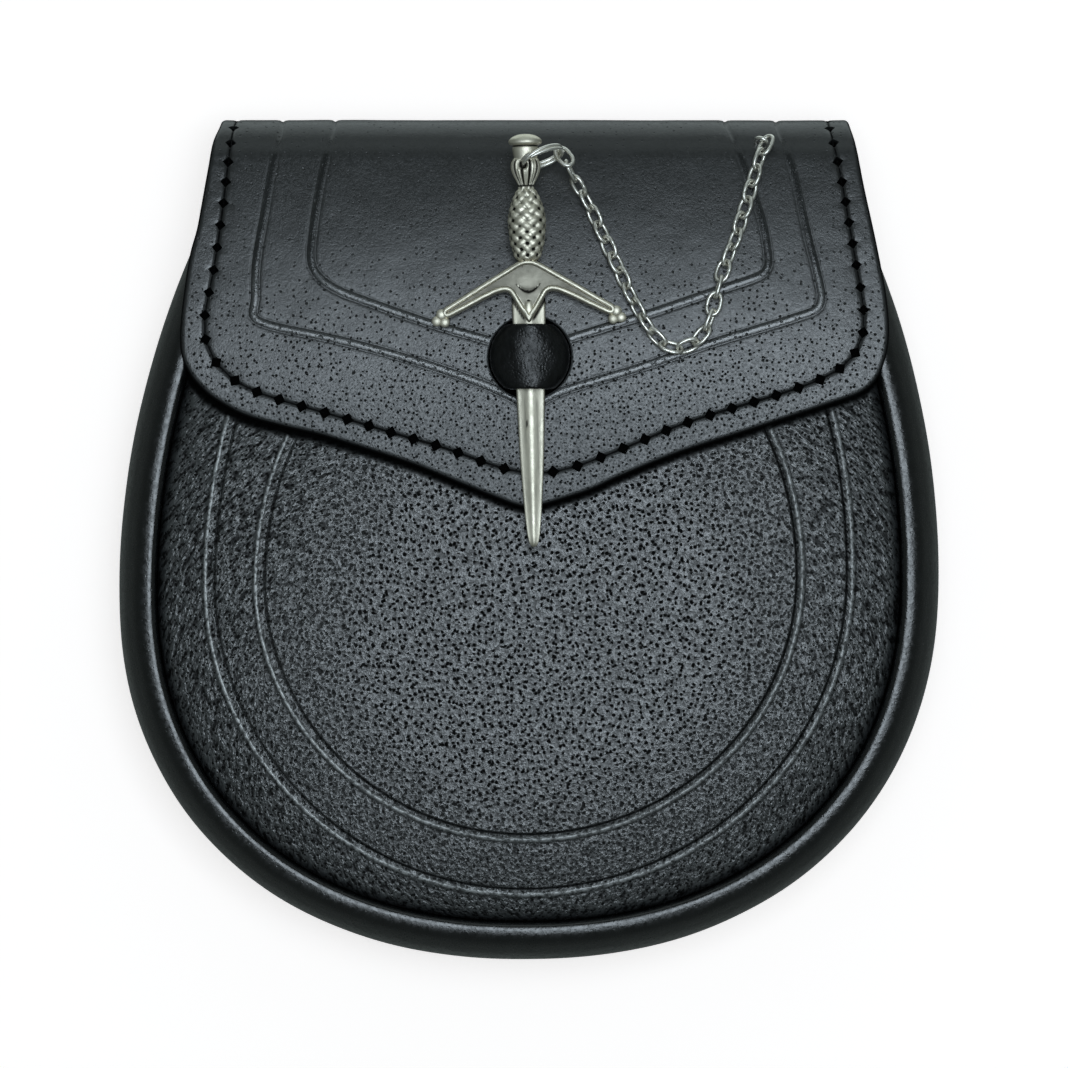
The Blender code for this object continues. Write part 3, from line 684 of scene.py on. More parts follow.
class Graph:
    """A material's nodes, with a short way to write each."""

    def __init__(self, name):
        self.material = bpy.data.materials.new(name)
        self.material.use_nodes = True
        self.tree = self.material.node_tree
        self.shader = self.tree.nodes["Principled BSDF"]
        self.object = self.node("ShaderNodeTexCoord").outputs["Object"]

    def node(self, kind, inputs=None, **settings):
        made = self.tree.nodes.new(kind)
        for key, value in settings.items():
            setattr(made, key, value)
        for key, value in (inputs or {}).items():
            self.put(value, made.inputs[key])
        return made

    def put(self, value, socket):
        if isinstance(value, bpy.types.NodeSocket):
            self.tree.links.new(value, socket)
        else:
            socket.default_value = value

    def attribute(self, name, vector=False):
        made = self.node("ShaderNodeAttribute", attribute_name=name)
        return made.outputs["Vector" if vector else "Fac"]

    def stretched(self, vector, scale):
        return self.node("ShaderNodeVectorMath", {0: vector, 1: scale}, operation="MULTIPLY").outputs[0]

    def warped(self, vector, scale, amount):
        moved = self.node("ShaderNodeTexNoise", {"Vector": vector, "Scale": scale, "Detail": 2.0}).outputs["Color"]
        centred = self.node("ShaderNodeVectorMath", {0: moved, 1: (0.5, 0.5, 0.5)}, operation="SUBTRACT").outputs[0]
        scaled = self.node("ShaderNodeVectorMath", {0: centred, "Scale": amount}, operation="SCALE").outputs[0]
        return self.node("ShaderNodeVectorMath", {0: vector, 1: scaled}, operation="ADD").outputs[0]

    def noise(self, vector, scale, detail=3.0, rough=0.55, distortion=0.0):
        return self.node(
            "ShaderNodeTexNoise",
            {"Vector": vector, "Scale": scale, "Detail": detail, "Roughness": rough, "Distortion": distortion},
        ).outputs["Fac"]

    def voronoi(self, vector, scale, feature="F1", randomness=1.0, output="Distance", across="3D"):
        return self.node(
            "ShaderNodeTexVoronoi",
            {"Vector": vector, "Scale": scale, "Randomness": randomness},
            feature=feature,
            voronoi_dimensions=across,
        ).outputs[output]

    def math(self, operation, a, b=0.0, clamp=False):
        return self.node("ShaderNodeMath", {0: a, 1: b}, operation=operation, use_clamp=clamp).outputs[0]

    def between(self, value, low, high, out_low=0.0, out_high=1.0, smooth=True):
        return self.node(
            "ShaderNodeMapRange",
            {"Value": value, "From Min": low, "From Max": high, "To Min": out_low, "To Max": out_high},
            interpolation_type="SMOOTHSTEP" if smooth else "LINEAR",
        ).outputs["Result"]

    def mix(self, factor, a, b):
        made = self.node("ShaderNodeMix", data_type="RGBA")
        self.put(factor, made.inputs[0])
        self.put(a if isinstance(a, bpy.types.NodeSocket) else (*a, 1.0), made.inputs[6])
        self.put(b if isinstance(b, bpy.types.NodeSocket) else (*b, 1.0), made.inputs[7])
        return made.outputs[2]

    def blend(self, factor, a, b):
        made = self.node("ShaderNodeMix", data_type="FLOAT")
        self.put(factor, made.inputs[0])
        self.put(a, made.inputs[2])
        self.put(b, made.inputs[3])
        return made.outputs[0]

    def bump(self, height, distance, strength=1.0, normal=None):
        made = self.node("ShaderNodeBump", {"Height": height, "Distance": distance, "Strength": strength})
        if normal is not None:
            self.put(normal, made.inputs["Normal"])
        return made.outputs["Normal"]

    def finish(self, **inputs):
        for key, value in inputs.items():
            name = key.replace("_", " ")
            if isinstance(value, tuple) and len(value) == 3:
                value = (*value, 1.0)
            self.put(value, self.shader.inputs[name])
        return self.material


def smooth_leather():
    """The flap and back: smooth black leather, with pin-prick pores and a soft polish."""
    g = Graph("smooth_black_leather")
    v = g.object
    moved = g.warped(g.attribute("sheet", True), 1100.0, 0.0004)
    cells = g.voronoi(moved, 720.0, across="2D")
    number = g.node("ShaderNodeSeparateColor", {0: g.voronoi(moved, 720.0, output="Color", across="2D")})
    crowd = g.between(g.noise(v, 75.0, 2.0), 0.35, 0.65, -0.12, 0.12)
    place = g.node("ShaderNodeSeparateXYZ", {0: v})
    low_down = g.between(place.outputs[1], 0.036, 0.068, 0.12, 0.80)
    faint = g.between(place.outputs[1], 0.030, 0.070, 1.0, 0.35)
    shown = g.math("GREATER_THAN", g.math("ADD", number.outputs[0], crowd), low_down)
    size = g.between(number.outputs[1], 0.0, 1.0, 0.13, 0.235, smooth=False)
    pit = g.math("MULTIPLY", g.between(g.math("DIVIDE", cells, size), 0.30, 1.10, 0.9, 0.0), shown)
    pit = g.math("MULTIPLY", pit, faint)
    close = g.voronoi(g.warped(g.attribute("sheet", True), 900.0, 0.0005), 1450.0, across="2D")
    close = g.math("MULTIPLY", g.between(close, 0.10, 0.34, 1.0, 0.0), g.between(place.outputs[1], 0.026, 0.056, 0.34, 0.0))
    fine = g.noise(v, 3000.0, 2.0, 0.6)
    leather = g.noise(v, 1500.0, 3.0, 0.6)
    broad = g.noise(v, 190.0, 3.0, 0.5)
    burnish_and_highlight = g.attribute("burnish_and_highlight")
    pressed = g.attribute("pressed")
    hole_edge_shade = g.attribute("hole_edge_shade")
    colour = g.mix(g.between(broad, 0.3, 0.7), (0.0060, 0.0068, 0.0074), (0.0105, 0.0118, 0.0128))
    # Painted light: the sheet is painted lighter low down, over the flap's lower part.
    colour = g.mix(g.between(place.outputs[1], 0.018, 0.052, 0.8, 0.0), colour, (0.034, 0.037, 0.040))
    colour = g.mix(g.math("MULTIPLY", g.math("MAXIMUM", pit, close), 0.9), colour, (0.0012, 0.0013, 0.0015))
    upright = g.between(place.outputs[1], 0.053, 0.062)
    # Painted shade: up towards the fold the embossed lines lose some shine and show dark.
    groove = g.math("MULTIPLY", pressed, upright)
    # Painted highlight, partly burnish: the embossed lines, the hole rims and a line inside the cut edge are painted
    # lighter, more low on the flap than towards the fold.
    colour = g.mix(g.math("MULTIPLY", burnish_and_highlight, g.between(upright, 0.0, 1.0, 0.6, 0.15)), colour, (0.110, 0.115, 0.116))
    # Painted shade: the stitch holes, the seam line and the cut edge are painted near black.
    colour = g.mix(hole_edge_shade, colour, (0.0008, 0.0008, 0.0009))
    rough = g.between(leather, 0.3, 0.7, 0.28, 0.40)
    rough = g.math("ADD", rough, g.between(place.outputs[1], 0.016, 0.042, 0.07, 0.0))
    rough = g.blend(pit, rough, 0.95)
    rough = g.blend(g.math("MULTIPLY", pressed, 0.9), rough, 0.18)
    rough = g.blend(hole_edge_shade, rough, 0.95)
    normal = g.bump(broad, 0.00018, 0.5)
    normal = g.bump(leather, 0.00005, 0.9, normal)
    normal = g.bump(fine, 0.00002, 0.8, normal)
    normal = g.bump(g.math("SUBTRACT", 1.0, pit), 0.00022, 1.0, normal)
    normal = g.bump(g.math("SUBTRACT", 1.0, close), 0.00007, 1.0, normal)
    g.shader.inputs["Specular IOR Level"].default_value = 1.0
    # Painted shade: the stitch holes, the seam line and the cut edge lose their shine as well as their colour, as the
    # pores do; up towards the fold the embossed lines lose some shine and show dark.
    dull = g.math("MAXIMUM", g.math("MULTIPLY", pit, 0.62), g.math("MULTIPLY", hole_edge_shade, 0.9))
    dull = g.math("MAXIMUM", dull, g.math("MULTIPLY", groove, 0.42))
    dull = g.math("MAXIMUM", dull, g.math("MULTIPLY", close, 0.66))
    return g.finish(Base_Color=colour, Roughness=rough, Metallic=dull, Normal=normal)


def grained_leather():
    """The front panel: pressed grain of small pits, drawn out round the sides."""
    g = Graph("grained_black_leather")
    v = g.object
    flow = g.attribute("flow", True)
    drawn = g.attribute("drawn")
    crease = g.attribute("crease")

    def pits(vector, scale, low, high, ragged):
        moved = g.warped(vector, 520.0, 0.0008)
        away = g.voronoi(moved, scale, randomness=0.95, across="2D")
        away = g.math("ADD", away, g.math("MULTIPLY", g.math("SUBTRACT", ragged, 0.5), 0.55))
        return g.between(away, low, high, 1.0, 0.0)

    def strokes(vector, scale):
        return g.noise(g.warped(vector, 700.0, 0.0006), scale, 2.0, 0.6)

    stroke = g.blend(drawn, strokes(v, 1250.0), strokes(g.stretched(flow, (0.75, 1.15, 1.0)), 1050.0))
    pit = g.blend(drawn, pits(v, 700.0, 0.09, 0.29, stroke), pits(v, 840.0, 0.04, 0.24, stroke))
    lumps = g.noise(v, 330.0, 3.0, 0.6)
    fine = g.noise(v, 3000.0, 2.0, 0.6)
    broad = g.noise(v, 95.0, 3.0, 0.5)
    beads = g.between(g.noise(v, 1000.0, 1.0, 0.5), 0.38, 0.58, 0.30, 1.0)
    slit = g.attribute("slit")
    flat = g.math("MULTIPLY", crease, beads, clamp=True)
    low = g.math("SUBTRACT", 1.0, pit)
    ridges = g.between(stroke, 0.34, 0.62)
    colour = g.mix(ridges, (0.0022, 0.0025, 0.0028), g.mix(drawn, (0.0130, 0.0144, 0.0160), (0.0480, 0.0515, 0.0530)))
    colour = g.mix(g.math("MULTIPLY", pit, 0.95), colour, (0.0008, 0.0009, 0.0010))
    # Painted shade in the crease's slit.
    colour = g.mix(g.math("MULTIPLY", slit, 0.95), colour, (0.0006, 0.0007, 0.0008))
    under = g.attribute("under")
    # Painted shadow close under the flap's edge.
    colour = g.mix(g.math("MULTIPLY", under, 0.9), colour, (0.0008, 0.0009, 0.0010))
    # Painted highlight on the crease ridges, beaded, left off under the flap's shadow.
    colour = g.mix(g.math("MULTIPLY", flat, g.math("SUBTRACT", 1.0, under)), colour, (0.560, 0.575, 0.580))
    rough = g.between(ridges, 0.0, 1.0, g.blend(drawn, 0.44, 0.55), g.blend(drawn, 0.25, 0.28), smooth=False)
    rough = g.blend(pit, rough, 0.75)
    rough = g.blend(flat, rough, 0.30)
    rough = g.blend(g.math("MULTIPLY", under, 1.0, clamp=True), rough, 1.0)
    relief = g.blend(flat, stroke, 0.6)
    normal = g.bump(broad, 0.00035, 0.5)
    normal = g.bump(lumps, 0.00008, 0.7, normal)
    normal = g.bump(relief, g.blend(drawn, 0.00019, 0.00055), 1.0, normal)
    normal = g.bump(g.blend(flat, low, 1.0), g.blend(drawn, 0.00012, 0.00022), 1.0, normal)
    normal = g.bump(fine, 0.00003, 0.7, normal)
    g.shader.inputs["Specular IOR Level"].default_value = 1.0
    # The pits, the gaps between the drawn-out grains, the painted dark slit and the painted shadow under the flap's
    # edge have no shine.
    gaps = g.math("MULTIPLY", g.between(stroke, 0.36, 0.50, 0.66, 0.0), g.blend(drawn, 0.30, 1.0))
    dull = g.math("MAXIMUM", g.math("MULTIPLY", pit, g.blend(drawn, 0.9, 0.75)), gaps)
    dull = g.math("MAXIMUM", dull, g.math("MULTIPLY", slit, 0.95))
    dull = g.math("MAXIMUM", g.math("MULTIPLY", dull, g.math("SUBTRACT", 1.0, flat)), g.math("MULTIPLY", under, 0.95))
    return g.finish(Base_Color=colour, Roughness=rough, Metallic=dull, Normal=normal)


def rim_leather():
    """The gusset and its rolled rim: thin smooth leather, stretched, with fine creases across it."""
    g = Graph("rim_black_leather")
    v = g.object
    along = g.attribute("along", True)
    worn = g.attribute("worn")
    creases = g.noise(g.stretched(along, (0.9, 0.65, 1.0)), 900.0, 3.0, 0.6)
    lumps = g.noise(along, 260.0, 3.0, 0.55)
    fine = g.noise(v, 3000.0, 2.0, 0.6)
    pores = g.between(g.voronoi(v, 1000.0), 0.08, 0.24, 1.0, 0.0)
    colour = g.mix(g.between(lumps, 0.3, 0.7), (0.0028, 0.0033, 0.0034), (0.0056, 0.0063, 0.0066))
    colour = g.mix(g.math("MULTIPLY", pores, 0.6), colour, (0.0015, 0.0016, 0.0018))
    rough = g.between(creases, 0.3, 0.7, 0.16, 0.34)
    normal = g.bump(lumps, 0.00022, 0.5)
    normal = g.bump(creases, 0.00006, g.math("ADD", 0.25, g.math("MULTIPLY", worn, 0.75)), normal)
    normal = g.bump(g.math("SUBTRACT", 1.0, pores), 0.00004, 0.5, normal)
    normal = g.bump(fine, 0.00002, 0.6, normal)
    g.shader.inputs["Specular IOR Level"].default_value = 0.80
    return g.finish(Base_Color=colour, Roughness=rough, Normal=normal)


def loop_leather():
    """The closure loop: soft dark leather, a little mottled where it bends."""
    g = Graph("loop_black_leather")
    v = g.object
    cells = g.voronoi(g.warped(v, 700.0, 0.0006), 1500.0)
    lumps = g.noise(g.stretched(v, (1.0, 0.5, 1.0)), 900.0, 3.0, 0.6)
    fine = g.noise(v, 3000.0, 2.0, 0.6)
    colour = g.mix(g.between(lumps, 0.3, 0.7), (0.0025, 0.0028, 0.0030), (0.0060, 0.0066, 0.0070))
    rough = g.between(lumps, 0.3, 0.7, 0.27, 0.42)
    normal = g.bump(lumps, 0.00011, 0.7)
    normal = g.bump(g.between(cells, 0.1, 0.6), 0.00005, 0.8, normal)
    normal = g.bump(fine, 0.00003, 0.7, normal)
    g.shader.inputs["Specular IOR Level"].default_value = 0.42
    return g.finish(Base_Color=colour, Roughness=rough, Normal=normal)


def thread():
    """Waxed black thread, two plies."""
    g = Graph("waxed_thread")
    twist = g.noise(g.object, 3200.0, 2.0, 0.6)
    colour = g.mix(twist, (0.0010, 0.0011, 0.0012), (0.0040, 0.0043, 0.0045))
    normal = g.bump(twist, 0.00005, 0.8)
    g.shader.inputs["Specular IOR Level"].default_value = 0.12
    return g.finish(Base_Color=colour, Roughness=g.between(twist, 0.3, 0.7, 0.5, 0.65), Normal=normal)


def cast_metal():
    """The sword: cast and plated, a little warm, with painted shade in its hollows, gaps and recesses."""
    g = Graph("cast_plated_metal")
    v = g.object
    shade_and_flaw = g.attribute("shade_and_flaw")
    cloud = g.noise(v, 420.0, 3.0, 0.6)
    fine = g.noise(v, 3000.0, 2.0, 0.6)
    scratches = g.noise(g.stretched(v, (1.0, 0.12, 1.0)), 2600.0, 3.0, 0.6)
    # Painted shade from the attribute, with a little random darker tone.
    dark = g.math("ADD", g.between(shade_and_flaw, 0.25, 0.95), g.between(cloud, 0.62, 0.8, 0.0, 0.18), clamp=True)
    colour = g.mix(dark, (0.88, 0.835, 0.700), (0.024, 0.022, 0.018))
    rough = g.math("ADD", g.between(cloud, 0.3, 0.7, 0.44, 0.54), g.math("MULTIPLY", dark, 0.1))
    normal = g.bump(cloud, 0.00014, 0.5)
    normal = g.bump(scratches, 0.000015, 0.6, normal)
    normal = g.bump(fine, 0.000015, 0.6, normal)
    return g.finish(Base_Color=colour, Roughness=rough, Metallic=1.0, Normal=normal)


def chain_metal():
    """The chain: bright drawn wire, with painted shade where the links meet."""
    g = Graph("chain_plated_metal")
    v = g.object
    shade_and_flaw = g.attribute("shade_and_flaw")
    cloud = g.noise(v, 700.0, 3.0, 0.6)
    fine = g.noise(v, 3000.0, 2.0, 0.6)
    colour = g.mix(g.between(shade_and_flaw, 0.3, 1.0), (0.99, 0.97, 0.90), (0.26, 0.25, 0.22))
    rough = g.between(cloud, 0.3, 0.7, 0.33, 0.42)
    normal = g.bump(cloud, 0.00010, 0.5)
    normal = g.bump(fine, 0.000012, 0.6, normal)
    return g.finish(Base_Color=colour, Roughness=rough, Metallic=1.0, Normal=normal)


def floor_paint():
    g = Graph("studio_floor")
    soft = g.noise(g.object, 6.0, 2.0, 0.5)
    colour = g.mix(soft, (0.84, 0.77, 0.73), (0.86, 0.79, 0.75))
    g.shader.inputs["Specular IOR Level"].default_value = 0.0
    return g.finish(
        Base_Color=colour,
        Roughness=0.9,
        Emission_Color=(1.0, 0.985, 0.985),
        Emission_Strength=0.69,
    )


# ---------------------------------------------------------------------------
# camera, light and floor
# ---------------------------------------------------------------------------


def add_camera():
    data = bpy.data.cameras.new("camera")
    data.sensor_width = 36.0
    data.lens = 181.16
    data.clip_start = 0.01
    data.clip_end = 10.0
    camera = bpy.data.objects.new("camera", data)
    camera.location = (0.001, 0.0013, 1.2)
    SCENE.collection.objects.link(camera)
    SCENE.camera = camera


def add_light(name, size, location, target, power, colour, spread=180.0):
    data = bpy.data.lights.new(name, "AREA")
    data.shape = "RECTANGLE"
    data.size, data.size_y = size
    data.energy = power
    data.color = colour
    data.spread = math.radians(spread)
    light = bpy.data.objects.new(name, data)
    light.location = location
    aim = Vector(target) - Vector(location)
    light.rotation_euler = aim.to_track_quat("-Z", "Y").to_euler()
    light.visible_camera = False
    SCENE.collection.objects.link(light)


def add_stage():
    world = bpy.data.worlds.new("studio")
    world.use_nodes = True
    background = world.node_tree.nodes["Background"]
    background.inputs["Color"].default_value = (0.86, 1.0, 0.97, 1.0)
    background.inputs["Strength"].default_value = 0.12
    SCENE.world = world

    mesh = bpy.data.meshes.new("studio_floor")
    half = 1.6
    mesh.from_pydata([(-half, -half, 0), (half, -half, 0), (half, half, 0), (-half, half, 0)], [], [(0, 1, 2, 3)])
    mesh.materials.append(floor_paint())
    floor = bpy.data.objects.new("studio_floor", mesh)
    floor.location.z = -0.00006
    floor.visible_glossy = False
    SCENE.collection.objects.link(floor)

    add_light("overhead", (0.70, 0.68), (0.105, 0.075, 1.5), (0.02, 0.015, 0.0), 7.9, (0.80, 0.91, 1.0))
    add_light("high_fill", (1.5, 0.7), (0.0, 1.35, 0.70), (0.0, 0.0, 0.0), 1.3, (0.84, 0.96, 0.98))
    add_light("from_the_top", (1.6, 1.15), (0.0, 1.0, -0.47), (0.0, 0.0, -0.1), 3.7, (0.84, 0.96, 0.97))
    SCENE.view_settings.view_transform = "Standard"


# ---------------------------------------------------------------------------
# the flap and back, one sheet
# ---------------------------------------------------------------------------


def sheet_edge():
    """The sheet's whole edge as a closed line of (u, t), counter-clockwise, evenly spaced."""
    back = []
    for y in (73.0, 66.0, 56.0, 42.0, 25.0, 8.0):
        half = HALF_WIDTH - NARROWING * (y - Y_WIDEST) ** 2 - SHEET_INSET
        back.append((max(half, FOLD_HALF_WIDTH), T_BACK + Y_BACK - y))
    for degrees in list(range(0, 90, 5)) + [88]:
        angle = math.radians(degrees)
        x = (HALF_WIDTH - SHEET_INSET) * math.cos(angle) ** (2 / ROUNDNESS)
        y = Y_WIDEST - (BELOW_WIDEST - SHEET_INSET) * math.sin(angle) ** (2 / ROUNDNESS)
        back.append((x, T_BACK + Y_BACK - y))
    back = np.array(back)
    fold = [(68.9, Y_BEND + 9.7), (68.7, T_RISE), (68.7, T_BACK_BEND), (68.7, T_BACK)]
    left = from_photo(EDGE_LEFT)
    right = from_photo(EDGE_RIGHT)
    tip = from_photo([EDGE_TIP])
    right_side = np.vstack([right[::-1], np.array(fold), back])
    left_side = np.vstack([back[::-1] * (-1, 1), np.array(fold)[::-1] * (-1, 1), left])
    line = np.vstack([tip, right_side, [(0.0, T_BACK + Y_BACK - Y_WIDEST + BELOW_WIDEST - SHEET_INSET)], left_side])
    return evenly(catmull(line, 12, True), 0.8, True)


def embossed_lines():
    lines = []
    for (pixels, radius), ends in zip(EMBOSSED, EMBOSSED_AT_FOLD):
        p = from_photo(pixels)
        first, last = ends[0], ends[-1]
        over = [(first, T_BACK + 4.0), (first, T_RISE), (first + 0.15 * (p[0][0] - first), Y_BEND + 7.0)]
        line = np.vstack([over, p])
        if len(ends) == 2:
            line = np.vstack([line, [(last + 0.15 * (p[-1][0] - last), Y_BEND + 7.0), (last, T_RISE), (last, T_BACK + 4.0)]])
        lines.append(evenly(eased(evenly(catmull(line, 8), 2.0), 1.6), 0.8))
    return lines


def stitch_places(edge):
    """Every hole's place and the direction of the seam there, round the whole sheet."""
    left = from_photo(HOLES_LEFT)
    right = from_photo(HOLES_RIGHT)
    under = from_photo([HOLE_UNDER_BLADE])
    seam = offset(edge, BACK_STITCH_INSET, True)
    on_back = seam[(seam[:, 1] > T_BACK + 10.0)]
    # The back's part of the line, from the right side round the bottom to the left.
    order = np.argsort(-np.arctan2(on_back[:, 0], -(on_back[:, 1] - T_BACK - 90.0)))
    on_back = on_back[order]
    over = np.vstack([right[-1:], [(64.0, T_RISE), (64.0, T_BACK)], on_back, [(-64.8, T_BACK), (-65.0, T_RISE)], left[:1]])
    rest = evenly(evenly(over, 0.5), STITCH_PITCH)[1:-1]
    places = np.vstack([left, under, right, rest])
    # Even out the measured places along the seam a little.
    for _ in range(2):
        places = places * 0.6 + 0.2 * (np.roll(places, 1, 0) + np.roll(places, -1, 0))
    along = np.roll(places, -1, 0) - np.roll(places, 1, 0)
    along /= np.linalg.norm(along, axis=1)[:, None]
    return places, along


def build_sheet(leather, thread_material):
    edge = sheet_edge()
    lines = embossed_lines()
    holes, along = stitch_places(edge)
    # The holes are punched a little smaller up the sides.
    hole_half = HOLE_HALF * (0.97 - 0.15 * np.clip((holes[:, 1] - 36.0) / 16.0, 0.0, 1.0))
    across = np.stack([-along[:, 1], along[:, 0]], 1)
    seam = evenly(catmull(holes, 6, True), 0.7, True)

    u0 = LOOP_CENTRE[0] - LEAN * LOOP_CENTRE[1]
    angles = np.arange(96) * 2 * math.pi / 96
    circle = np.stack([u0 + LOOP_HOLE_R * np.cos(angles), LOOP_CENTRE[1] + LOOP_HOLE_R * np.sin(angles)], 1)
    openings = [circle]
    for x, y in SLOT_CENTRES:
        straight = (SLOT_LENGTH - SLOT_WIDTH) / 2
        a = np.arange(17) * math.pi / 16
        top = np.stack([SLOT_WIDTH / 2 * np.cos(a), straight + SLOT_WIDTH / 2 * np.sin(a)], 1)
        slot = np.vstack([top, -top])
        openings.append(evenly(slot + (x, T_BACK + Y_BACK - y), 0.8, True))

    def rounding(distance, radius):
        d = np.clip(distance, 0.0, radius)
        return radius - np.sqrt(np.maximum(radius**2 - (radius - d) ** 2, 0.0))

    def edge_rows(distances):
        rows = [offset(edge, d, True) for d in distances]
        rows += [offset(o, -d, True) for o in openings for d in distances]
        return [np.vstack([r, r[:1]]) for r in rows]

    extra = edge_rows((0.05, 0.15, 0.32, 0.58, 0.9, 1.25))
    for line in lines:
        for d in (0.0, 0.35, 0.6, 0.78, 0.95, 1.12, 1.32, 1.75):
            for side in (-1, 1) if d else (1,):
                extra.append(evenly(offset(line, side * d), 0.8))
    for d in (-1.2, -0.75, -0.45, -0.22, 0.0, 0.22, 0.45, 0.75, 1.2):
        row = offset(seam, d, True)
        extra.append(np.vstack([row, row[:1]]))
    diamonds = []
    for share in (1.0, 0.86, 0.72):
        corners = []
        for a, b in ((1, 0), (0.5, 0.5), (0, 1), (-0.5, 0.5), (-1, 0), (-0.5, -0.5), (0, -1), (0.5, -0.5)):
            corners.append(holes + hole_half[:, None] * share * (a * along + b * across))
        diamonds.append(np.stack(corners, 1))
    for ring in diamonds:
        extra += [np.vstack([r, r[:1]]) for r in ring]

    low, high = edge.min(0), edge.max(0)
    grid = hexgrid(low, high, 1.35)
    near, _ = distance_to(grid, edge, True)
    grid = grid[near > 1.3]
    inside_lines = []
    for line in lines + [np.vstack([seam, seam[:1]])]:
        d, _ = distance_to(grid, line)
        grid = grid[np.abs(d) > 1.9 if line is not None else True]
    for hole in openings:
        d, _ = distance_to(grid, hole, True)
        grid = grid[np.abs(d) > 1.3]
    points, faces, rings = triangulate([edge] + openings, extra, grid)

    # Height of each point above the plain outer face.
    t = points[:, 1]
    height = np.zeros(len(points))
    fade = np.clip((T_BACK + 2.0 - t) / 10.0, 0.0, 1.0)
    over_fold = np.clip((t - 84.0) / 5.0, 0.0, 1.0)
    pressed = np.zeros(len(points))
    for line in lines:
        d = np.abs(distance_to(points, line)[0])
        fainter = 1.0 - 0.5 * np.clip((t - 62.0) / 16.0, 0.0, 1.0)
        dip = -0.10 * fainter * np.exp(-(((d - 0.95) / 0.18) ** 2))
        ridge = (0.12 * fainter * (1 - over_fold) - 0.40 * over_fold) * np.exp(-((d / 0.5) ** 2))
        broad = -0.02 * np.exp(-((d / 1.7) ** 2))
        height += (dip + ridge + broad) * fade
        pressed = np.maximum(pressed, np.exp(-((d / 0.55) ** 4)) * fade * (1 - over_fold))
    d_seam = np.abs(distance_to(points, seam, True)[0])
    height -= GROOVE_DEPTH * np.exp(-((d_seam / 0.34) ** 2)) + 0.06 * np.exp(-((d_seam / 1.3) ** 2))
    tree = KDTree(len(holes))
    for i, (x, y) in enumerate(holes):
        tree.insert((x, y, 0.0), i)
    tree.balance()
    nearest = np.array([tree.find((x, y, 0.0))[1] for x, y in points])
    relative = points - holes[nearest]
    m = (np.abs((relative * along[nearest]).sum(1)) + np.abs((relative * across[nearest]).sum(1))) / hole_half[nearest]
    pit = np.clip((1.0 - m) / 0.28, 0.0, 1.0)
    height -= HOLE_DEPTH * pit
    height -= 0.07 * np.exp(-(np.maximum(m - 1.0, 0.0) / 0.4) ** 2) * (m < 2.5)
    # Painted shade in the stitch holes and along the seam line.
    hole_edge_shade = np.clip(np.maximum(pit * 2.2, (0.80 - 0.28 * np.clip((t - 36.0) / 16.0, 0.0, 1.0)) * np.exp(-((d_seam / 0.24) ** 4))), 0.0, 1.0)
    d_edge = np.abs(distance_to(points, edge, True)[0])
    height -= rounding(d_edge, 1.1) * 0.85
    d_open = np.full(len(points), 1e9)
    for hole in openings:
        d_open = np.minimum(d_open, np.abs(distance_to(points, hole, True)[0]))
    height -= rounding(d_open, 0.45) * 0.8
    flat = on_sheet(points, np.zeros(len(points)))
    soft = wobble(flat, 0.045, 1) * 0.16 + wobble(flat, 0.16, 2) * 0.045
    on_back = np.clip((t - T_BACK) / 12.0, 0.0, 1.0)
    height += soft * (1 - on_back) - on_back * 0.12 * (0.5 + 0.5 * wobble(flat, 0.05, 3))
    verts = on_sheet(points, height)
    # Painted highlight, partly burnish: round the holes and slots, on a line inside the cut edge and on the embossed
    # lines.
    hole_burnish_and_highlight = np.exp(-((d_open / 0.4) ** 2)) * (t < 60.0)
    edge_highlight = 0.30 * np.exp(-(((d_edge - 1.15) / 0.3) ** 2))
    burnish_and_highlight = np.clip(np.maximum.reduce([hole_burnish_and_highlight, edge_highlight, 0.9 * pressed]), 0.0, 1.0)
    # Painted shade on the cut edge.
    hole_edge_shade = np.maximum(hole_edge_shade, np.clip((0.62 - d_edge) / 0.35, 0.0, 1.0) * 0.95)

    # The flesh side, with its own wider triangles between the same edges.
    inner_grid = hexgrid(low, high, 3.2)
    d, _ = distance_to(inner_grid, edge, True)
    inner_grid = inner_grid[d > 1.6]
    for hole in openings:
        d, _ = distance_to(inner_grid, hole, True)
        inner_grid = inner_grid[np.abs(d) > 1.6]
    inner, inner_faces, inner_rings = triangulate([edge] + openings, edge_rows((0.2, 0.55)), inner_grid)
    d_in = np.abs(distance_to(inner, edge, True)[0])
    for hole in openings:
        d_in = np.minimum(d_in, np.abs(distance_to(inner, hole, True)[0]))
    inner_verts = on_sheet(inner, -LEATHER + rounding(d_in, 0.5) * 0.8)
    count = len(verts)
    all_faces = [faces, inner_faces[:, ::-1] + count]
    for ring, inner_ring in zip(rings, inner_rings):
        all_faces.append(strip(ring, np.array(inner_ring) + count))
    all_faces[2] = all_faces[2][:, ::-1]
    verts = np.vstack([verts, inner_verts])
    all_faces = np.vstack(all_faces)
    burnish_and_highlight = np.concatenate([burnish_and_highlight, np.full(len(inner), 0.2)])
    pressed = np.concatenate([pressed, np.zeros(len(inner))])
    hole_edge_shade = np.concatenate([hole_edge_shade, np.full(len(inner), 0.3)])
    flat_places = np.vstack([points, inner])
    sheet_place = np.column_stack([flat_places, np.zeros(len(flat_places))]) * MM
    sheet = make_piece(
        "flap_and_back_leather", verts, all_faces, leather, ("flap_and_back",),
        sharp=50.0, attributes={"burnish_and_highlight": burnish_and_highlight, "pressed": pressed, "hole_edge_shade": hole_edge_shade, "sheet": sheet_place},
    )

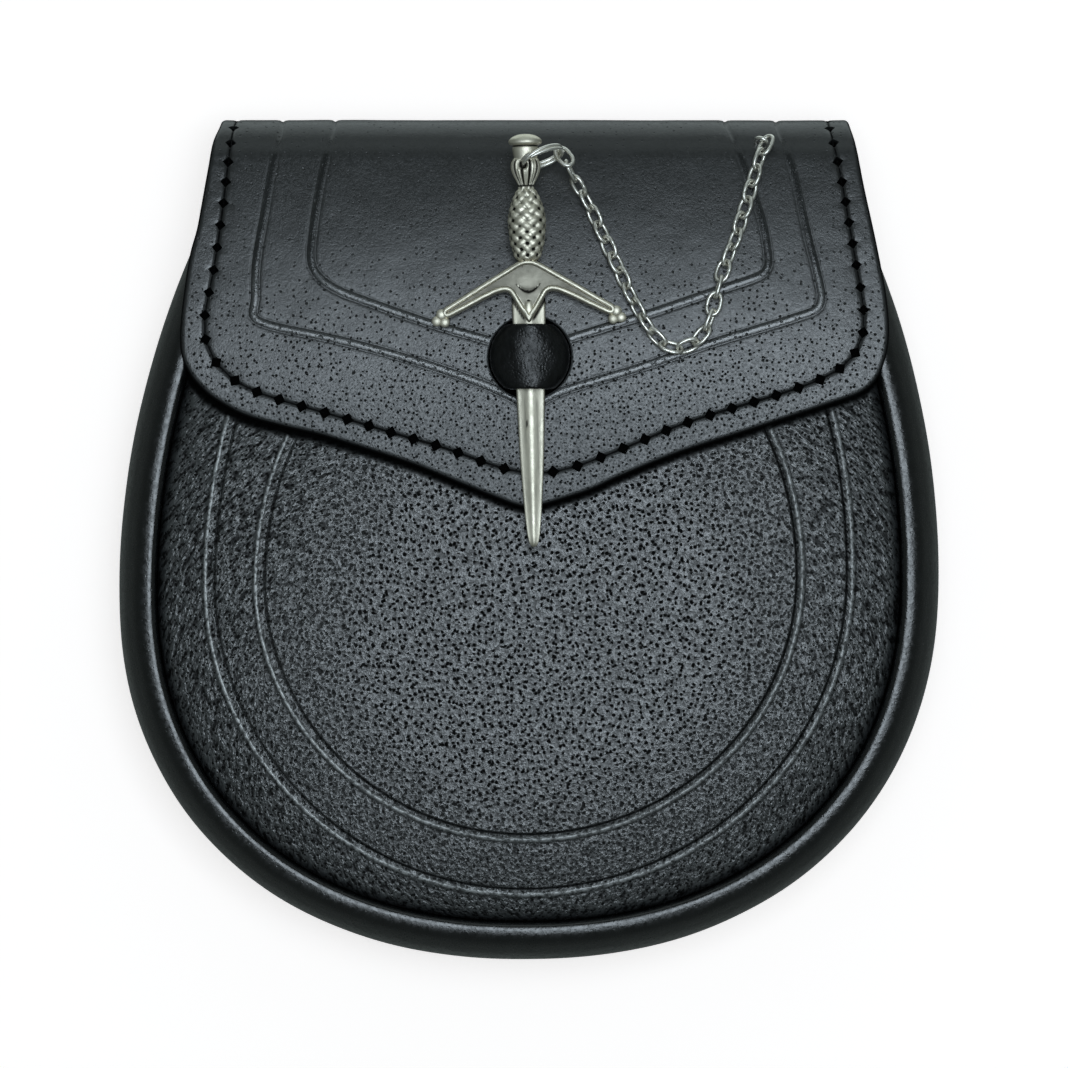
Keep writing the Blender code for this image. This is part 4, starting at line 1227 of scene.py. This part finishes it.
    # Thread from hole to hole, lying in the groove.
    parts = []
    count = len(holes)
    for k in range(count):
        a, b = holes[k], holes[(k + 1) % count]
        span = np.linalg.norm(b - a)
        ahead = (b - a) / span
        s = np.array([0.3, 0.6, 0.95, 1.25, 1.55, 1.95, span / 2, span - 1.95, span - 1.55, span - 1.25, span - 0.95, span - 0.6, span - 0.3])
        h = np.array([-1.65, -1.5, -1.05, -0.62, -0.45, -0.41, -0.40, -0.41, -0.45, -0.62, -1.05, -1.5, -1.65])
        path = on_sheet(a + ahead * s[:, None], h)
        parts.append(tube(path, THREAD_R, 7))
    verts, faces = joined(parts)
    make_piece("stitching", verts, faces, thread_material, ("flap_and_back",))
    return sheet


# ---------------------------------------------------------------------------
# gusset, front panel and loop
# ---------------------------------------------------------------------------


def build_gusset(leather):
    outer = evenly(catmull(GUSSET_OUTSIDE[1:-1], 10), 0.75)
    outer = np.vstack([[GUSSET_OUTSIDE[0]], outer, [GUSSET_OUTSIDE[-1]]])
    inner = evenly(catmull(GUSSET_INSIDE, 8), 1.6)
    section = np.vstack([outer, inner])
    count = 420
    base = outline(Y_MOUTH, 0.0, count)
    inward = offset(base, 1.0) - base
    rings = np.zeros((count, len(section), 3))
    lengths = np.concatenate([[0.0], np.cumsum(np.linalg.norm(np.diff(base, axis=0), axis=1))])
    lumps = np.array([[noise.noise(Vector((s * 0.055, k * 0.11, 4.0))) for k in range(len(section))] for s in lengths])
    for k, (inset, z) in enumerate(section):
        at = base + inward * inset
        rings[:, k, :2] = at
        rings[:, k, 2] = z
        if 6 < k < len(outer) - 6:
            rings[:, k, :2] += inward * (lumps[:, k] * 0.10)[:, None]
            rings[:, k, 2] += lumps[:, k] * 0.08
    flat = placed(rings.reshape(-1, 3))
    verts, faces, number = lattice(flat.reshape(rings.shape), True, False)
    start = rings[0].mean(0)
    caps = []
    for row, flip in ((number[0], False), (number[-1], True)):
        tri = cap(rings[0][:, [0, 2]], row)
        caps.append(tri[:, ::-1] if flip else tri)
    faces = np.vstack([faces] + caps)
    run = np.linalg.norm(np.diff(np.vstack([section, section[:1]]), axis=0), axis=1)
    down = np.concatenate([[0.0], np.cumsum(run)[:-1]])
    along = np.stack([
        np.repeat(lengths[:, None], len(section), 1),
        np.repeat(down[None], count, 0),
        np.zeros((count, len(section))),
    ], -1).reshape(-1, 3) * MM
    worn = np.clip(0.25 + verts[:, 0] / 90.0, 0.15, 1.0)
    make_piece("gusset_leather", verts, faces, leather, ("gusset",), sharp=50.0,
               attributes={"along": along, "worn": worn})


def cap(section, row):
    """Triangles over a flat section whose outline may bend in."""
    coordinates = [Vector(p) for p in section]
    n = len(coordinates)
    edges = [(i, (i + 1) % n) for i in range(n)]
    verts, _, faces, from_verts, _, _ = delaunay_2d_cdt(coordinates, edges, [], 1, 1e-6)
    back = [old[0] for old in from_verts]
    tri = np.array([[row[back[i]] for i in f] for f in faces])
    return tri


def panel_edge():
    """The panel's edge, closed and counter-clockwise, before it leans."""
    path = outline(Y_PANEL_TOP, PANEL_INSET, 500)
    start = Y_PANEL_TOP - PANEL_CORNER_R
    path = path[path[:, 1] < start]
    side = path[-1] - path[-2]
    side /= np.linalg.norm(side)
    before = path[-1] + side * ((start - path[-1][1]) / side[1])
    corner = before + side * (PANEL_CORNER_R / side[1])
    after = corner - (np.linalg.norm(corner - before), 0.0)
    t = np.linspace(0, 1, 12)[:, None]
    bend = (1 - t) ** 2 * before + 2 * t * (1 - t) * corner + t * t * after
    line = np.vstack([path, bend, bend[::-1] * (-1, 1)])
    return evenly(line, 0.75, True)


def crease_line(half, below, above):
    a = np.arange(720) * 2 * math.pi / 720
    x, y = half * np.cos(a), np.sin(a)
    y = CREASE_MIDDLE_Y + np.where(y < 0, below, above) * y
    return evenly(np.stack([x, y], 1), 0.8, True)


def build_panel(leather):
    edge = panel_edge()
    face_curve = catmull(PANEL_FACE, 10)
    creases = [crease_line(*c) for c in CREASES]
    extra = []
    for d in (0.08, 0.2, 0.4, 0.65, 0.95, 1.3, 1.7, 2.1, 2.6, 3.2, 3.9):
        row = offset(edge, d, True)
        extra.append(np.vstack([row, row[:1]]))
    for crease in creases:
        for d in (-1.7, -1.25, -0.95, -0.65, -0.4, -0.18, 0.0, 0.18, 0.4, 0.62, 0.82, 1.0, 1.13, 1.26, 1.39, 1.52, 1.65, 1.78, 1.91, 2.04, 2.17, 2.35, 2.6):
            row = offset(crease, d, True)
            row = np.vstack([row, row[:1]])
            keep = (row[:, 1] < 62.0)
            runs = np.split(np.arange(len(row)), np.where(np.diff(keep.astype(int)) != 0)[0] + 1)
            extra += [row[r] for r in runs if keep[r[0]] and len(r) > 2]
    grid = hexgrid(edge.min(0), edge.max(0), 0.85)
    d, _ = distance_to(grid, edge, True)
    grid = grid[d > 4.3]
    for crease in creases:
        d, _ = distance_to(grid, crease, True)
        grid = grid[(d < -2.1) | (d > 3.0) | (grid[:, 1] > 62.0)]
    extra = [e[(np.abs(distance_to(e, edge, True)[0]) > 0.02)] for e in extra]
    extra = [e for e in extra if len(e) > 2 and inside(e, edge).all()]
    points, faces, rings = triangulate([edge], extra, grid)
    d_edge = np.abs(distance_to(points, edge, True)[0])
    z = np.interp(d_edge, face_curve[:, 0], face_curve[:, 1])
    ridge_highlight = np.zeros(len(points))
    slit = np.zeros(len(points))
    # Painted light by the light's side: the crease's painted highlight is strongest on the left, its painted dark slit
    # strongest on the right and below, and the slit sits at its own distance from the ridge on each side.
    lit = np.clip(0.72 - (points[:, 0] - 0.6 * points[:, 1] - 12.0) / 150.0, 0.66, 1.0)
    for crease in creases:
        d, _ = distance_to(points, crease, True)
        slit_at = 1.22 + 2.15 * (lit - 0.66)
        # Painted shade in the slit, strongest on the right and below.
        slit = np.maximum(slit, np.exp(-(((d - slit_at) / 0.19) ** 4)) * np.clip(1.75 - lit, 0.75, 1.0))
        z += 0.26 * np.exp(-((d / 0.50) ** 2))
        z -= 0.22 * np.exp(-(((d - slit_at) / 0.21) ** 2))
        z -= 0.05 * np.exp(-(((d + 0.95) / 0.45) ** 2))
        # Painted highlight along each crease's ridge, strongest on the left.
        ridge_highlight = np.maximum(ridge_highlight, np.exp(-((d / (0.34 + 0.25 * (1.0 - lit))) ** 4)) * lit)
    flat = np.column_stack([points, np.zeros(len(points))])
    z += (wobble(flat, 0.035, 5) * 0.22 + wobble(flat, 0.12, 6) * 0.06) * np.clip(d_edge / 6.0, 0, 1)
    top = placed(np.column_stack([points, z]))

    inner_edge = evenly(offset(edge, 2.0, True), 0.75, True)
    inner_edge = offset(edge, 2.0, True)
    inner_grid = hexgrid(edge.min(0), edge.max(0), 3.5)
    d, _ = distance_to(inner_grid, edge, True)
    inner_grid = inner_grid[d > 3.6]
    inner, inner_faces, inner_rings = triangulate([inner_edge], [], inner_grid)
    d_in = np.abs(distance_to(inner, edge, True)[0])
    inner_z = np.maximum(np.interp(d_in, face_curve[:, 0], face_curve[:, 1]) - 2.3, PANEL_SKIRT_Z)
    inner_z[inner_rings[0]] = PANEL_SKIRT_Z
    under = placed(np.column_stack([inner, inner_z]))
    skirt = placed(np.column_stack([points[rings[0]], np.full(len(rings[0]), PANEL_SKIRT_Z)]))
    n_top, n_skirt = len(top), len(skirt)
    verts = np.vstack([top, skirt, under])
    skirt_row = np.arange(n_skirt) + n_top
    under_row = np.array(inner_rings[0]) + n_top + n_skirt
    faces = np.vstack([
        faces,
        strip(rings[0], skirt_row)[:, ::-1],
        strip(skirt_row, under_row)[:, ::-1],
        inner_faces[:, ::-1] + n_top + n_skirt,
    ])
    # The grain is drawn out round a point low on the panel.
    middle = np.array((0.0, -34.0))
    relative = verts[:, :2] - middle
    r = np.linalg.norm(relative, axis=1)
    angle = np.arctan2(relative[:, 0], -relative[:, 1])
    round_it = np.abs(angle) * 34.0
    slant = math.sqrt(0.5)
    flow = np.stack([(round_it - r) * slant, (round_it + r) * slant, np.clip(relative[:, 0] / 4.0, -1, 1) * 2.0], 1) * MM
    e = np.hypot(verts[:, 0] / 82.0, (verts[:, 1] + 14.0) / 78.0)
    e += 0.17 * np.clip(-verts[:, 0] / 45.0, 0.0, 1.0) * np.clip((verts[:, 1] + 45.0) / 40.0, 0.0, 1.0)
    drawn = np.clip((e - 0.50) / 0.38, 0.0, 1.0)
    # Painted shadow: the panel is painted dark and dull close under the flap's edge, reaching furthest on the left.
    rim = sheet_edge()
    rim = rim[rim[:, 1] < 60.0]
    order = np.argsort(rim[:, 0])
    rim = rim[order]
    lean = np.column_stack([verts[:, 0] - LEAN * verts[:, 1], verts[:, 1]])
    below = np.interp(lean[:, 0], rim[:, 0], rim[:, 1]) - lean[:, 1]
    d_rim = np.abs(distance_to(lean, rim)[0])
    reach = 1.45 - 0.75 * np.clip((lean[:, 0] + 62.0) / 50.0, 0.0, 1.0)
    flap_shadow = np.where(below > 0, np.clip(1.0 - (d_rim - reach) / 0.9, 0.0, 1.0), 1.0)
    ridge_highlight = np.concatenate([ridge_highlight, np.zeros(n_skirt + len(under))])
    slit = np.concatenate([slit, np.zeros(n_skirt + len(under))])
    make_piece("front_panel_leather", verts, faces, leather, ("front_panel",), sharp=60.0,
               attributes={"flow": flow, "drawn": drawn, "crease": ridge_highlight, "slit": slit, "under": flap_shadow})


def build_loop(leather):
    """A leather strap bent over the blade. Its sides follow the round hole."""
    x0, y0 = LOOP_CENTRE
    base_z = placed([(0.0, y0, 36.85)])[0, 2] + 0.3
    top_z, arch, thick, radius, length = 45.7, 5.2, 1.1, 8.65, 14.0
    spring = top_z - arch
    ys = length / 2 * np.array([-1.0, -0.995, -0.975, -0.94, -0.89, -0.82] + list(np.linspace(-0.72, 0.72, 25)) + [0.82, 0.89, 0.94, 0.975, 0.995, 1.0])

    def band(y, inset):
        half = math.sqrt(radius**2 - y**2) - inset
        near = np.abs(np.abs(y) - length / 2)
        soft = 0.5 - math.sqrt(max(0.0, 0.25 - (0.5 - min(near, 0.5)) ** 2))
        edge_in = soft * 0.8 if inset == 0.0 else -soft * 0.5
        points = [(half - edge_in, base_z + inset)]
        points.append((half - edge_in, base_z + inset + 1.5))
        for k in range(49):
            angle = math.pi * k / 48
            points.append((
                (half - edge_in) * math.cos(angle),
                spring + (arch - inset - edge_in) * math.sin(angle),
            ))
        points.append((-half + edge_in, base_z + inset + 1.5))
        points.append((-half + edge_in, base_z + inset))
        return [(x0 + x, y0 + y, z) for x, z in points]

    outer = np.array([band(y, 0.0) for y in ys])
    inner = np.array([band(y, thick) for y in ys])
    bulge = np.array([noise.noise(Vector(p) * 0.25) for p in outer.reshape(-1, 3)]).reshape(outer.shape[:2])
    outer[..., 2] += bulge * 0.18 * (outer[..., 2] > spring)
    v1, f1, n1 = lattice(outer, True, False)
    v2, f2, n2 = lattice(inner, True, False)
    shift = len(v1)
    faces = np.vstack([
        f1[:, ::-1],
        f2 + shift,
        strip(n1[0], n2[0] + shift),
        strip(n1[-1], n2[-1] + shift)[:, ::-1],
    ])
    make_piece("closure_loop_leather", np.vstack([v1, v2]), faces[:, ::-1], leather, ("closure_loop",), sharp=50.0)


# ---------------------------------------------------------------------------
# sword
# ---------------------------------------------------------------------------


def in_sword_frame(verts):
    a = math.radians(SWORD_TILT)
    c, s = math.cos(a), math.sin(a)
    v = np.asarray(verts)
    return np.stack([
        LOOP_CENTRE[0] + c * v[:, 0] - s * v[:, 1],
        LOOP_CENTRE[1] + s * v[:, 0] + c * v[:, 1],
        SWORD_Z + v[:, 2],
    ], 1)


def build_grip(metal):
    table = np.array(GRIP)
    dense = catmull(table[:, :2], 8)
    kind = np.interp(-dense[:, 0], -table[:, 0], table[:, 2])
    rows = evenly(np.column_stack([dense, kind]), 0.16)
    around = 144
    phi = np.arange(around) * 2 * math.pi / around
    y = rows[:, 0][:, None]
    radius = rows[:, 1][:, None] * np.ones((1, around))
    kind = rows[:, 2][:, None]
    leaves = np.clip(1 - np.abs(kind - 1) * 3, 0, 1)
    woven = np.clip((kind - 1.2) * 2.5, 0, 1)

    # Leaves: lobes side by side, each with a line down its middle and a rounded tip.
    lobe = np.abs(np.cos(LEAVES * phi / 2))[None]
    rib = np.exp(-((np.sin(LEAVES * phi / 2) / 0.22) ** 2))[None]
    leaf = -LEAF_RELIEF * (1 - lobe) ** 1.6 - 0.16 * rib
    tips = -0.30 * np.exp(-(((y - 42.5) / 0.35) ** 2)) * (1 - lobe)

    # Woven strands: two sets that climb opposite ways and pass over and under each other.
    a = STRANDS * (phi[None] + STRAND_TURN * (y - 28.0)) / 2
    b = STRANDS * (phi[None] - STRAND_TURN * (y - 28.0)) / 2
    da, db = np.abs(np.sin(a)), np.abs(np.sin(b))
    round_a = np.sqrt(np.clip(1 - (da / 0.98) ** 2, 0, 1))
    round_b = np.sqrt(np.clip(1 - (db / 0.98) ** 2, 0, 1))
    sign_a, sign_b = np.sign(np.cos(a)), np.sign(np.cos(b))
    over = 0.55 * sign_a * sign_b
    high = np.maximum(round_a + over * round_b, round_b - over * round_a)
    weave = STRAND_RELIEF * (np.clip(high, 0, 1.55) / 1.55 - 1)
    relief = leaves * (leaf + tips) + woven * weave
    # Painted shade in the gaps of the leaves and the weave: least at the top of the knot, most down its sides and at
    # the foot.
    shade = 0.60 + 0.90 * np.clip(np.maximum((29.5 - y) / 6.0, (np.abs(np.sin(phi))[None] - 0.45) * 2.2), 0, 1)
    shade_and_flaw = np.clip(leaves * (1 - lobe) ** 1.2 * 1.3 + leaves * rib * 0.55 + woven * np.clip((0.98 - high) / 0.75, 0, 1) * shade, 0, 1)
    # Painted shade in the gap under the pommel and at the waist.
    shade_and_flaw = np.maximum(shade_and_flaw, np.exp(-(((y - 45.3) / 0.28) ** 2)) * 0.9 * np.ones_like(radius))
    shade_and_flaw = np.maximum(shade_and_flaw, np.exp(-(((y - 36.75) / 0.35) ** 2)) * 0.9 * np.ones_like(radius))

    # The hole that the ring goes into, on the upper face, painted dark as shade.
    hole_x, hole_y = -0.75, 41.3
    x = radius * np.sin(phi)[None]
    facing = np.cos(phi)[None] > 0
    away = np.hypot((x - hole_x) / 1.15, (y - hole_y) / 1.0)
    dip = np.exp(-(away**4)) * facing
    relief = relief * (1 - dip) - 1.5 * dip
    shade_and_flaw = np.maximum(shade_and_flaw, np.clip(dip * 1.6, 0, 1))
    radius = np.maximum(radius + relief * np.clip(radius / 2.0, 0, 1), 0.02)
    rings = np.stack([
        radius * np.sin(phi)[None],
        y * np.ones((1, around)),
        AXIS_Z + np.where(np.cos(phi) > 0, FLATTEN, FLATTEN_BELOW)[None] * radius * np.cos(phi)[None],
    ], -1)
    verts, faces, number = lattice(rings, True, False)
    verts = np.vstack([verts, [(0.0, rows[0, 0] + 0.02, AXIS_Z), (0.0, rows[-1, 0], AXIS_Z)]])
    faces = np.vstack([faces, fan(number[0], len(verts) - 2), fan(number[-1], len(verts) - 1)[:, ::-1]])
    shade_and_flaw = np.append(shade_and_flaw.reshape(-1), (0.0, 0.0))
    make_piece("sword_grip", in_sword_frame(verts), faces[:, ::-1], metal, ("sword_pin",),
               sharp=70.0, attributes={"shade_and_flaw": shade_and_flaw})


def ball(centre, radius, flat=1.0, rows=14, columns=20):
    a = np.linspace(0.05, math.pi - 0.05, rows)
    b = np.arange(columns) * 2 * math.pi / columns
    rings = np.stack([
        radius * np.sin(a)[:, None] * np.cos(b)[None],
        radius * np.sin(a)[:, None] * np.sin(b)[None],
        radius * flat * np.cos(a)[:, None] * np.ones((1, columns)),
    ], -1) + np.array(centre)
    verts, faces, number = lattice(rings, True, False)
    x, y, z = centre
    verts = np.vstack([verts, [(x, y, z + radius * flat), (x, y, z - radius * flat)]])
    faces = np.vstack([faces, fan(number[0], len(verts) - 2), fan(number[-1], len(verts) - 1)[:, ::-1]])
    return verts, faces


def build_guard(metal):
    half = np.array(GUARD)
    full = np.vstack([half, half[-2:0:-1] * (-1, 1)])[::-1]
    edge = evenly(eased(np.vstack([full, full[:2]]), 0.7)[:-1], 0.22, True)
    if np.sum(edge[:, 0] * np.roll(edge[:, 1], -1) - edge[:, 1] * np.roll(edge[:, 0], -1)) < 0:
        edge = edge[::-1]
    rows = []
    for d in (0.06, 0.16, 0.3, 0.48, 0.66, 0.86, 1.04, 1.22):
        row = offset(edge, d, True)
        keep = np.abs(distance_to(row, edge, True)[0]) > d * 0.8
        rows.append(row[keep & inside(row, edge)])
    grid = hexgrid(edge.min(0), edge.max(0), 0.24)
    d, _ = distance_to(grid, edge, True)
    grid = grid[inside(grid, edge) & (np.abs(d) > 1.36)]
    points, faces, rings = triangulate([edge], [], np.vstack(rows + [grid]))
    d = np.abs(distance_to(points, edge, True)[0])
    x, y = np.abs(points[:, 0]), points[:, 1]
    curve = catmull(((0.0, -1.15), (0.07, -0.66), (0.19, -0.24), (0.36, -0.04), (0.58, 0.02), (0.82, 0.03), (1.0, -0.06), (1.2, -0.38), (1.42, -0.52), (4.0, -0.52)), 8)
    z = GUARD_TOP + 0.3 + np.interp(d, curve[:, 0], curve[:, 1])
    # The hub's face swells, with a scallop under it, and the shield below has a raised rib.
    hub = np.exp(-((x / 4.2) ** 2) - (((y - 17.6) / 2.2) ** 2)) * np.clip((d - 0.9) / 0.8, 0, 1)
    z += 0.06 * hub
    z += 0.60 * np.exp(-((x / 3.6) ** 2) - (((y - 20.2) / 2.6) ** 2))
    scallop_y = 14.15 + 0.24 * np.minimum(x, 2.6) ** 2
    groove = np.exp(-(((y - scallop_y) / (0.38 - 0.07 * np.minimum(x, 2.7))) ** 2)) * np.clip((2.9 - x) / 1.5, 0, 1) * np.clip(d / 0.8, 0, 1)
    z -= 0.16 * groove
    shield = (y < scallop_y).astype(float) * (x < 4.4)
    drop = np.exp(-(((x / 0.75) ** 2 + ((y - 10.6) / 1.5) ** 2) ** 2)) * shield
    dot = np.exp(-(((x / 0.40) ** 2 + ((y - 12.05) / 0.20) ** 2) ** 2)) * shield
    z += 0.34 * drop - 0.20 * dot
    # Arms thin towards their ends.
    z -= 0.55 * np.clip((x - 5.0) / 14.0, 0, 1)
    spots = wobble(np.column_stack([points, np.zeros(len(points))]), 0.9, 8)
    z += 0.03 * spots
    # Painted shade in the scallop groove, in the recessed field inside the raised rim (lighter at the hub) and in the
    # dot on the shield.
    field = shield * np.clip((d - 1.0) / 0.3, 0, 1) * (1 - drop)
    shade_and_flaw = np.clip(groove * 0.82 + 0.66 * field + 0.8 * dot, 0, 1)
    hub_share = np.exp(-((x / 4.4) ** 2) - (((y - 16.6) / 2.4) ** 2))
    recess = (0.72 - 0.12 * hub_share) * np.clip((d - 0.95) / 0.25, 0, 1)
    shade_and_flaw = np.maximum(shade_and_flaw, recess * np.clip((y - scallop_y) / 0.2, 0, 1) + recess * (x > 2.6) * np.clip((scallop_y + 0.2 - y) / 0.2, 0, 1))
    top = np.column_stack([points, z])
    ring = points[rings[0]]
    low = np.column_stack([ring, np.full(len(ring), 0.35)])
    verts = np.vstack([top, low, [(0.0, 15.0, 0.35)]])
    low_row = np.arange(len(ring)) + len(top)
    bottom = cap(ring, low_row)
    verts = verts[:-1]
    faces = np.vstack([faces, strip(rings[0], low_row)[:, ::-1], bottom[:, ::-1]])
    # Painted shade on the guard's sides.
    shade_and_flaw = np.concatenate([shade_and_flaw, np.full(len(ring), 0.75)])
    parts = [(verts, faces)]
    shades = [shade_and_flaw]
    for side in (-1, 1):
        for bx, by, r, bz in LOBES:
            v, f = ball((side * bx, by, bz), r, 0.48)
            parts.append((v, f))
            # Painted shade on the underside of each lobe.
            shades.append(np.clip((bz - v[:, 2]) / r * 1.2, 0, 0.7))
    verts, faces = joined(parts)
    make_piece("sword_guard", in_sword_frame(verts), faces, metal, ("sword_pin",),
               sharp=55.0, attributes={"shade_and_flaw": np.concatenate(shades)})


def build_blade(metal):
    rows = catmull(BLADE, 22)
    top = np.array(BLADE_SECTION)
    right = top
    left = top[-2::-1] * (-1, 1)
    under = np.array([(-0.55, 0.0), (-0.25, 0.0), (0.25, 0.0), (0.55, 0.0)])
    section = np.vstack([right, left, under])
    rings = []
    for y, width, ridge in rows:
        # The faces flatten out towards the tip.
        share = np.where(section[:, 1] > 0.65, 1 - (1 - section[:, 1]) * np.interp(y, (-41.0, -30.0), (0.45, 1.0)), section[:, 1])
        rings.append(np.column_stack([section[:, 0] * width, np.full(len(section), y), share * ridge]))
    rings = np.array(rings)
    verts, faces, number = lattice(rings, True, False)
    verts = np.vstack([verts, [(0.0, rows[0, 0], 1.0), (0.0, rows[-1, 0] - 0.1, 0.4)]])
    faces = np.vstack([faces, fan(number[0], len(verts) - 2), fan(number[-1], len(verts) - 1)[:, ::-1]])
    x, y = verts[:, 0], verts[:, 1]
    # One small casting flaw, and painted shade where the blade meets the shield.
    shade_and_flaw = np.exp(-(((x + 0.95) / 0.36) ** 2) - (((y + 14.4) / 1.1) ** 2))
    # Painted shade along both faces, most on the right.
    along = np.clip((-y - 6.0) / 4.0, 0, 1) * np.clip((y + 36.0) / 12.0, 0, 1)
    shade_and_flaw = np.maximum(shade_and_flaw, 0.56 * np.exp(-(((x - 1.35) / 0.55) ** 2)) * along)
    shade_and_flaw = np.maximum(shade_and_flaw, 0.54 * np.exp(-(((x + 1.30) / 0.50) ** 2)) * along * np.clip((y + 30.0) / 12.0, 0, 1))
    shield_edge = np.interp(y, (7.6, 8.9, 11.2, 13.1), (0.45, 1.2, 2.6, 3.7))
    shade_and_flaw = np.maximum(shade_and_flaw, np.exp(-(((np.abs(x) - shield_edge - 0.25) / 0.55) ** 2)) * np.clip((y - 7.0) / 1.2, 0, 1))
    make_piece("sword_blade", in_sword_frame(verts), faces, metal, ("sword_pin",),
               sharp=40.0, attributes={"shade_and_flaw": shade_and_flaw})


# ---------------------------------------------------------------------------
# ring, chain and staple
# ---------------------------------------------------------------------------


def oval_points(half_length, half_width, angles, power=2.4):
    c, s = np.cos(angles), np.sin(angles)
    return np.stack([
        half_length * np.sign(c) * np.abs(c) ** (2 / power),
        half_width * np.sign(s) * np.abs(s) ** (2 / power),
    ], 1)


def build_ring(metal):
    """A split ring: the wire goes round twice."""
    place = (
        Matrix.Translation(Vector(RING_CENTRE))
        @ Matrix.Rotation(math.radians(RING_ANGLE), 4, "Z")
        @ Matrix.Rotation(math.radians(RING_DIP), 4, "Y")
        @ Matrix.Rotation(math.radians(90 - RING_LEAN), 4, "X")
    )
    turns = np.linspace(0.0, 2.0, 121)
    flat = oval_points(RING_HALF[0], RING_HALF[1], turns * 2 * math.pi + 2.2, 2.2)
    step = np.clip((turns - 0.85) / 0.3, 0, 1)
    across = (step * step * (3 - 2 * step) - 0.5) * 2 * 0.42
    path = np.column_stack([flat, across])
    world = np.array([place @ Vector(p) for p in path])
    verts, faces = tube(world, RING_WIRE, 12)
    make_piece("split_ring", verts, faces, metal, ("pommel_ring",),
               attributes={"shade_and_flaw": np.zeros(len(verts))})


def link_places():
    """Each link's middle and axes, from its own solid."""
    found = []
    for k in range(1, 29):
        name = f"chain_link_{k:02d}"
        data = NODES[name].data
        co = np.array([v.co for v in data.vertices]) / MM
        co = np.unique(np.round(co, 4), axis=0)
        centre = (co.max(0) + co.min(0)) / 2
        centre = co.mean(0)
        values, vectors = np.linalg.eigh(np.cov((co - centre).T))
        along, across, normal = vectors[:, 2], vectors[:, 1], vectors[:, 0]
        found.append((name, centre, along, across, normal))
    return found


def build_chain(metal):
    angles = np.arange(40) * 2 * math.pi / 40
    flat = oval_points(LINK_HALF[0], LINK_HALF[1], angles + 0.04)
    flat = evenly(flat, 0.3, True)
    places = link_places()
    for k, (name, centre, along, across, normal) in enumerate(places):
        rng = np.random.default_rng(100 + k)
        lift = max(0.0, 0.8 - 0.4 * k)  # the first links hang from the ring
        path = centre + flat[:, :1] * along + flat[:, 1:] * across + (0.0, 0.0, lift)
        radius = np.full(len(path), LINK_WIRE)
        # Each link closes with a butt joint on one long side.
        seam = len(path) // 4 + int(rng.integers(-2, 3))
        radius[seam] *= 0.80
        verts, faces = tube(path, radius, 12, closed=True)
        # Painted shade at each link's ends, where the links meet.
        inner = np.abs((verts - centre) @ along) / LINK_HALF[0]
        shade_and_flaw = np.clip((inner - 0.82) * 2.2, 0, 0.5)
        make_piece(name + "_wire", verts, faces, metal, (name,),
                   attributes={"shade_and_flaw": shade_and_flaw})
    return places


def flap_surface(y):
    if y <= Y_BEND:
        z, slope = flap_face(y)
        n = math.hypot(slope, 1.0)
        return float(z), np.array((0.0, -slope / n, 1.0 / n))
    turn = math.acos(min(1.0, (y - CENTRE_Y) / FOLD_R_FRONT))
    return CENTRE_Z + FOLD_R_FRONT * math.sin(turn), np.array((0.0, math.cos(turn), math.sin(turn)))


def build_staple(metal, places):
    """The wire arch over the last link's side."""
    last, before = places[-1][1], places[-2][1]
    direction = (last - before) / np.linalg.norm(last - before)
    side = np.cross(flap_surface(last[1])[1], direction)
    side /= np.linalg.norm(side)
    point = last + direction * 0.9 + side * 1.23
    angle = math.atan2(point[2] - CENTRE_Z, point[1] - CENTRE_Y)
    y = CENTRE_Y + FOLD_R_FRONT * math.cos(min(angle, TURN))
    z, up = flap_surface(y)
    foot = np.array((point[0], y, z))
    along = side - up * side.dot(up)
    along /= np.linalg.norm(along)
    span, rise = 1.3, 2.3
    points = [(-span - 1.6, -LEATHER - 1.0), (-span - 0.5, -LEATHER - 0.95), (-span, -LEATHER - 0.5),
              (-span, 0.0), (-span, rise - 1.3), (-span * 0.72, rise - 0.4), (0.0, rise)]
    points += [(-s, h) for s, h in points[-2::-1]]
    path = catmull([foot + along * s + up * h for s, h in points], 6)
    verts, faces = tube(evenly(path, 0.25), STAPLE_WIRE, 12)
    make_piece("staple_wire", verts, faces, metal, ("chain_staple",),
               attributes={"shade_and_flaw": np.zeros(len(verts))})


# ---------------------------------------------------------------------------


def main():
    add_camera()
    add_stage()
    metal = cast_metal()
    wire = chain_metal()
    build_gusset(rim_leather())
    build_panel(grained_leather())
    build_sheet(smooth_leather(), thread())
    build_loop(loop_leather())
    build_grip(metal)
    build_guard(metal)
    build_blade(metal)
    build_ring(wire)
    places = build_chain(wire)
    build_staple(wire, places)


main()
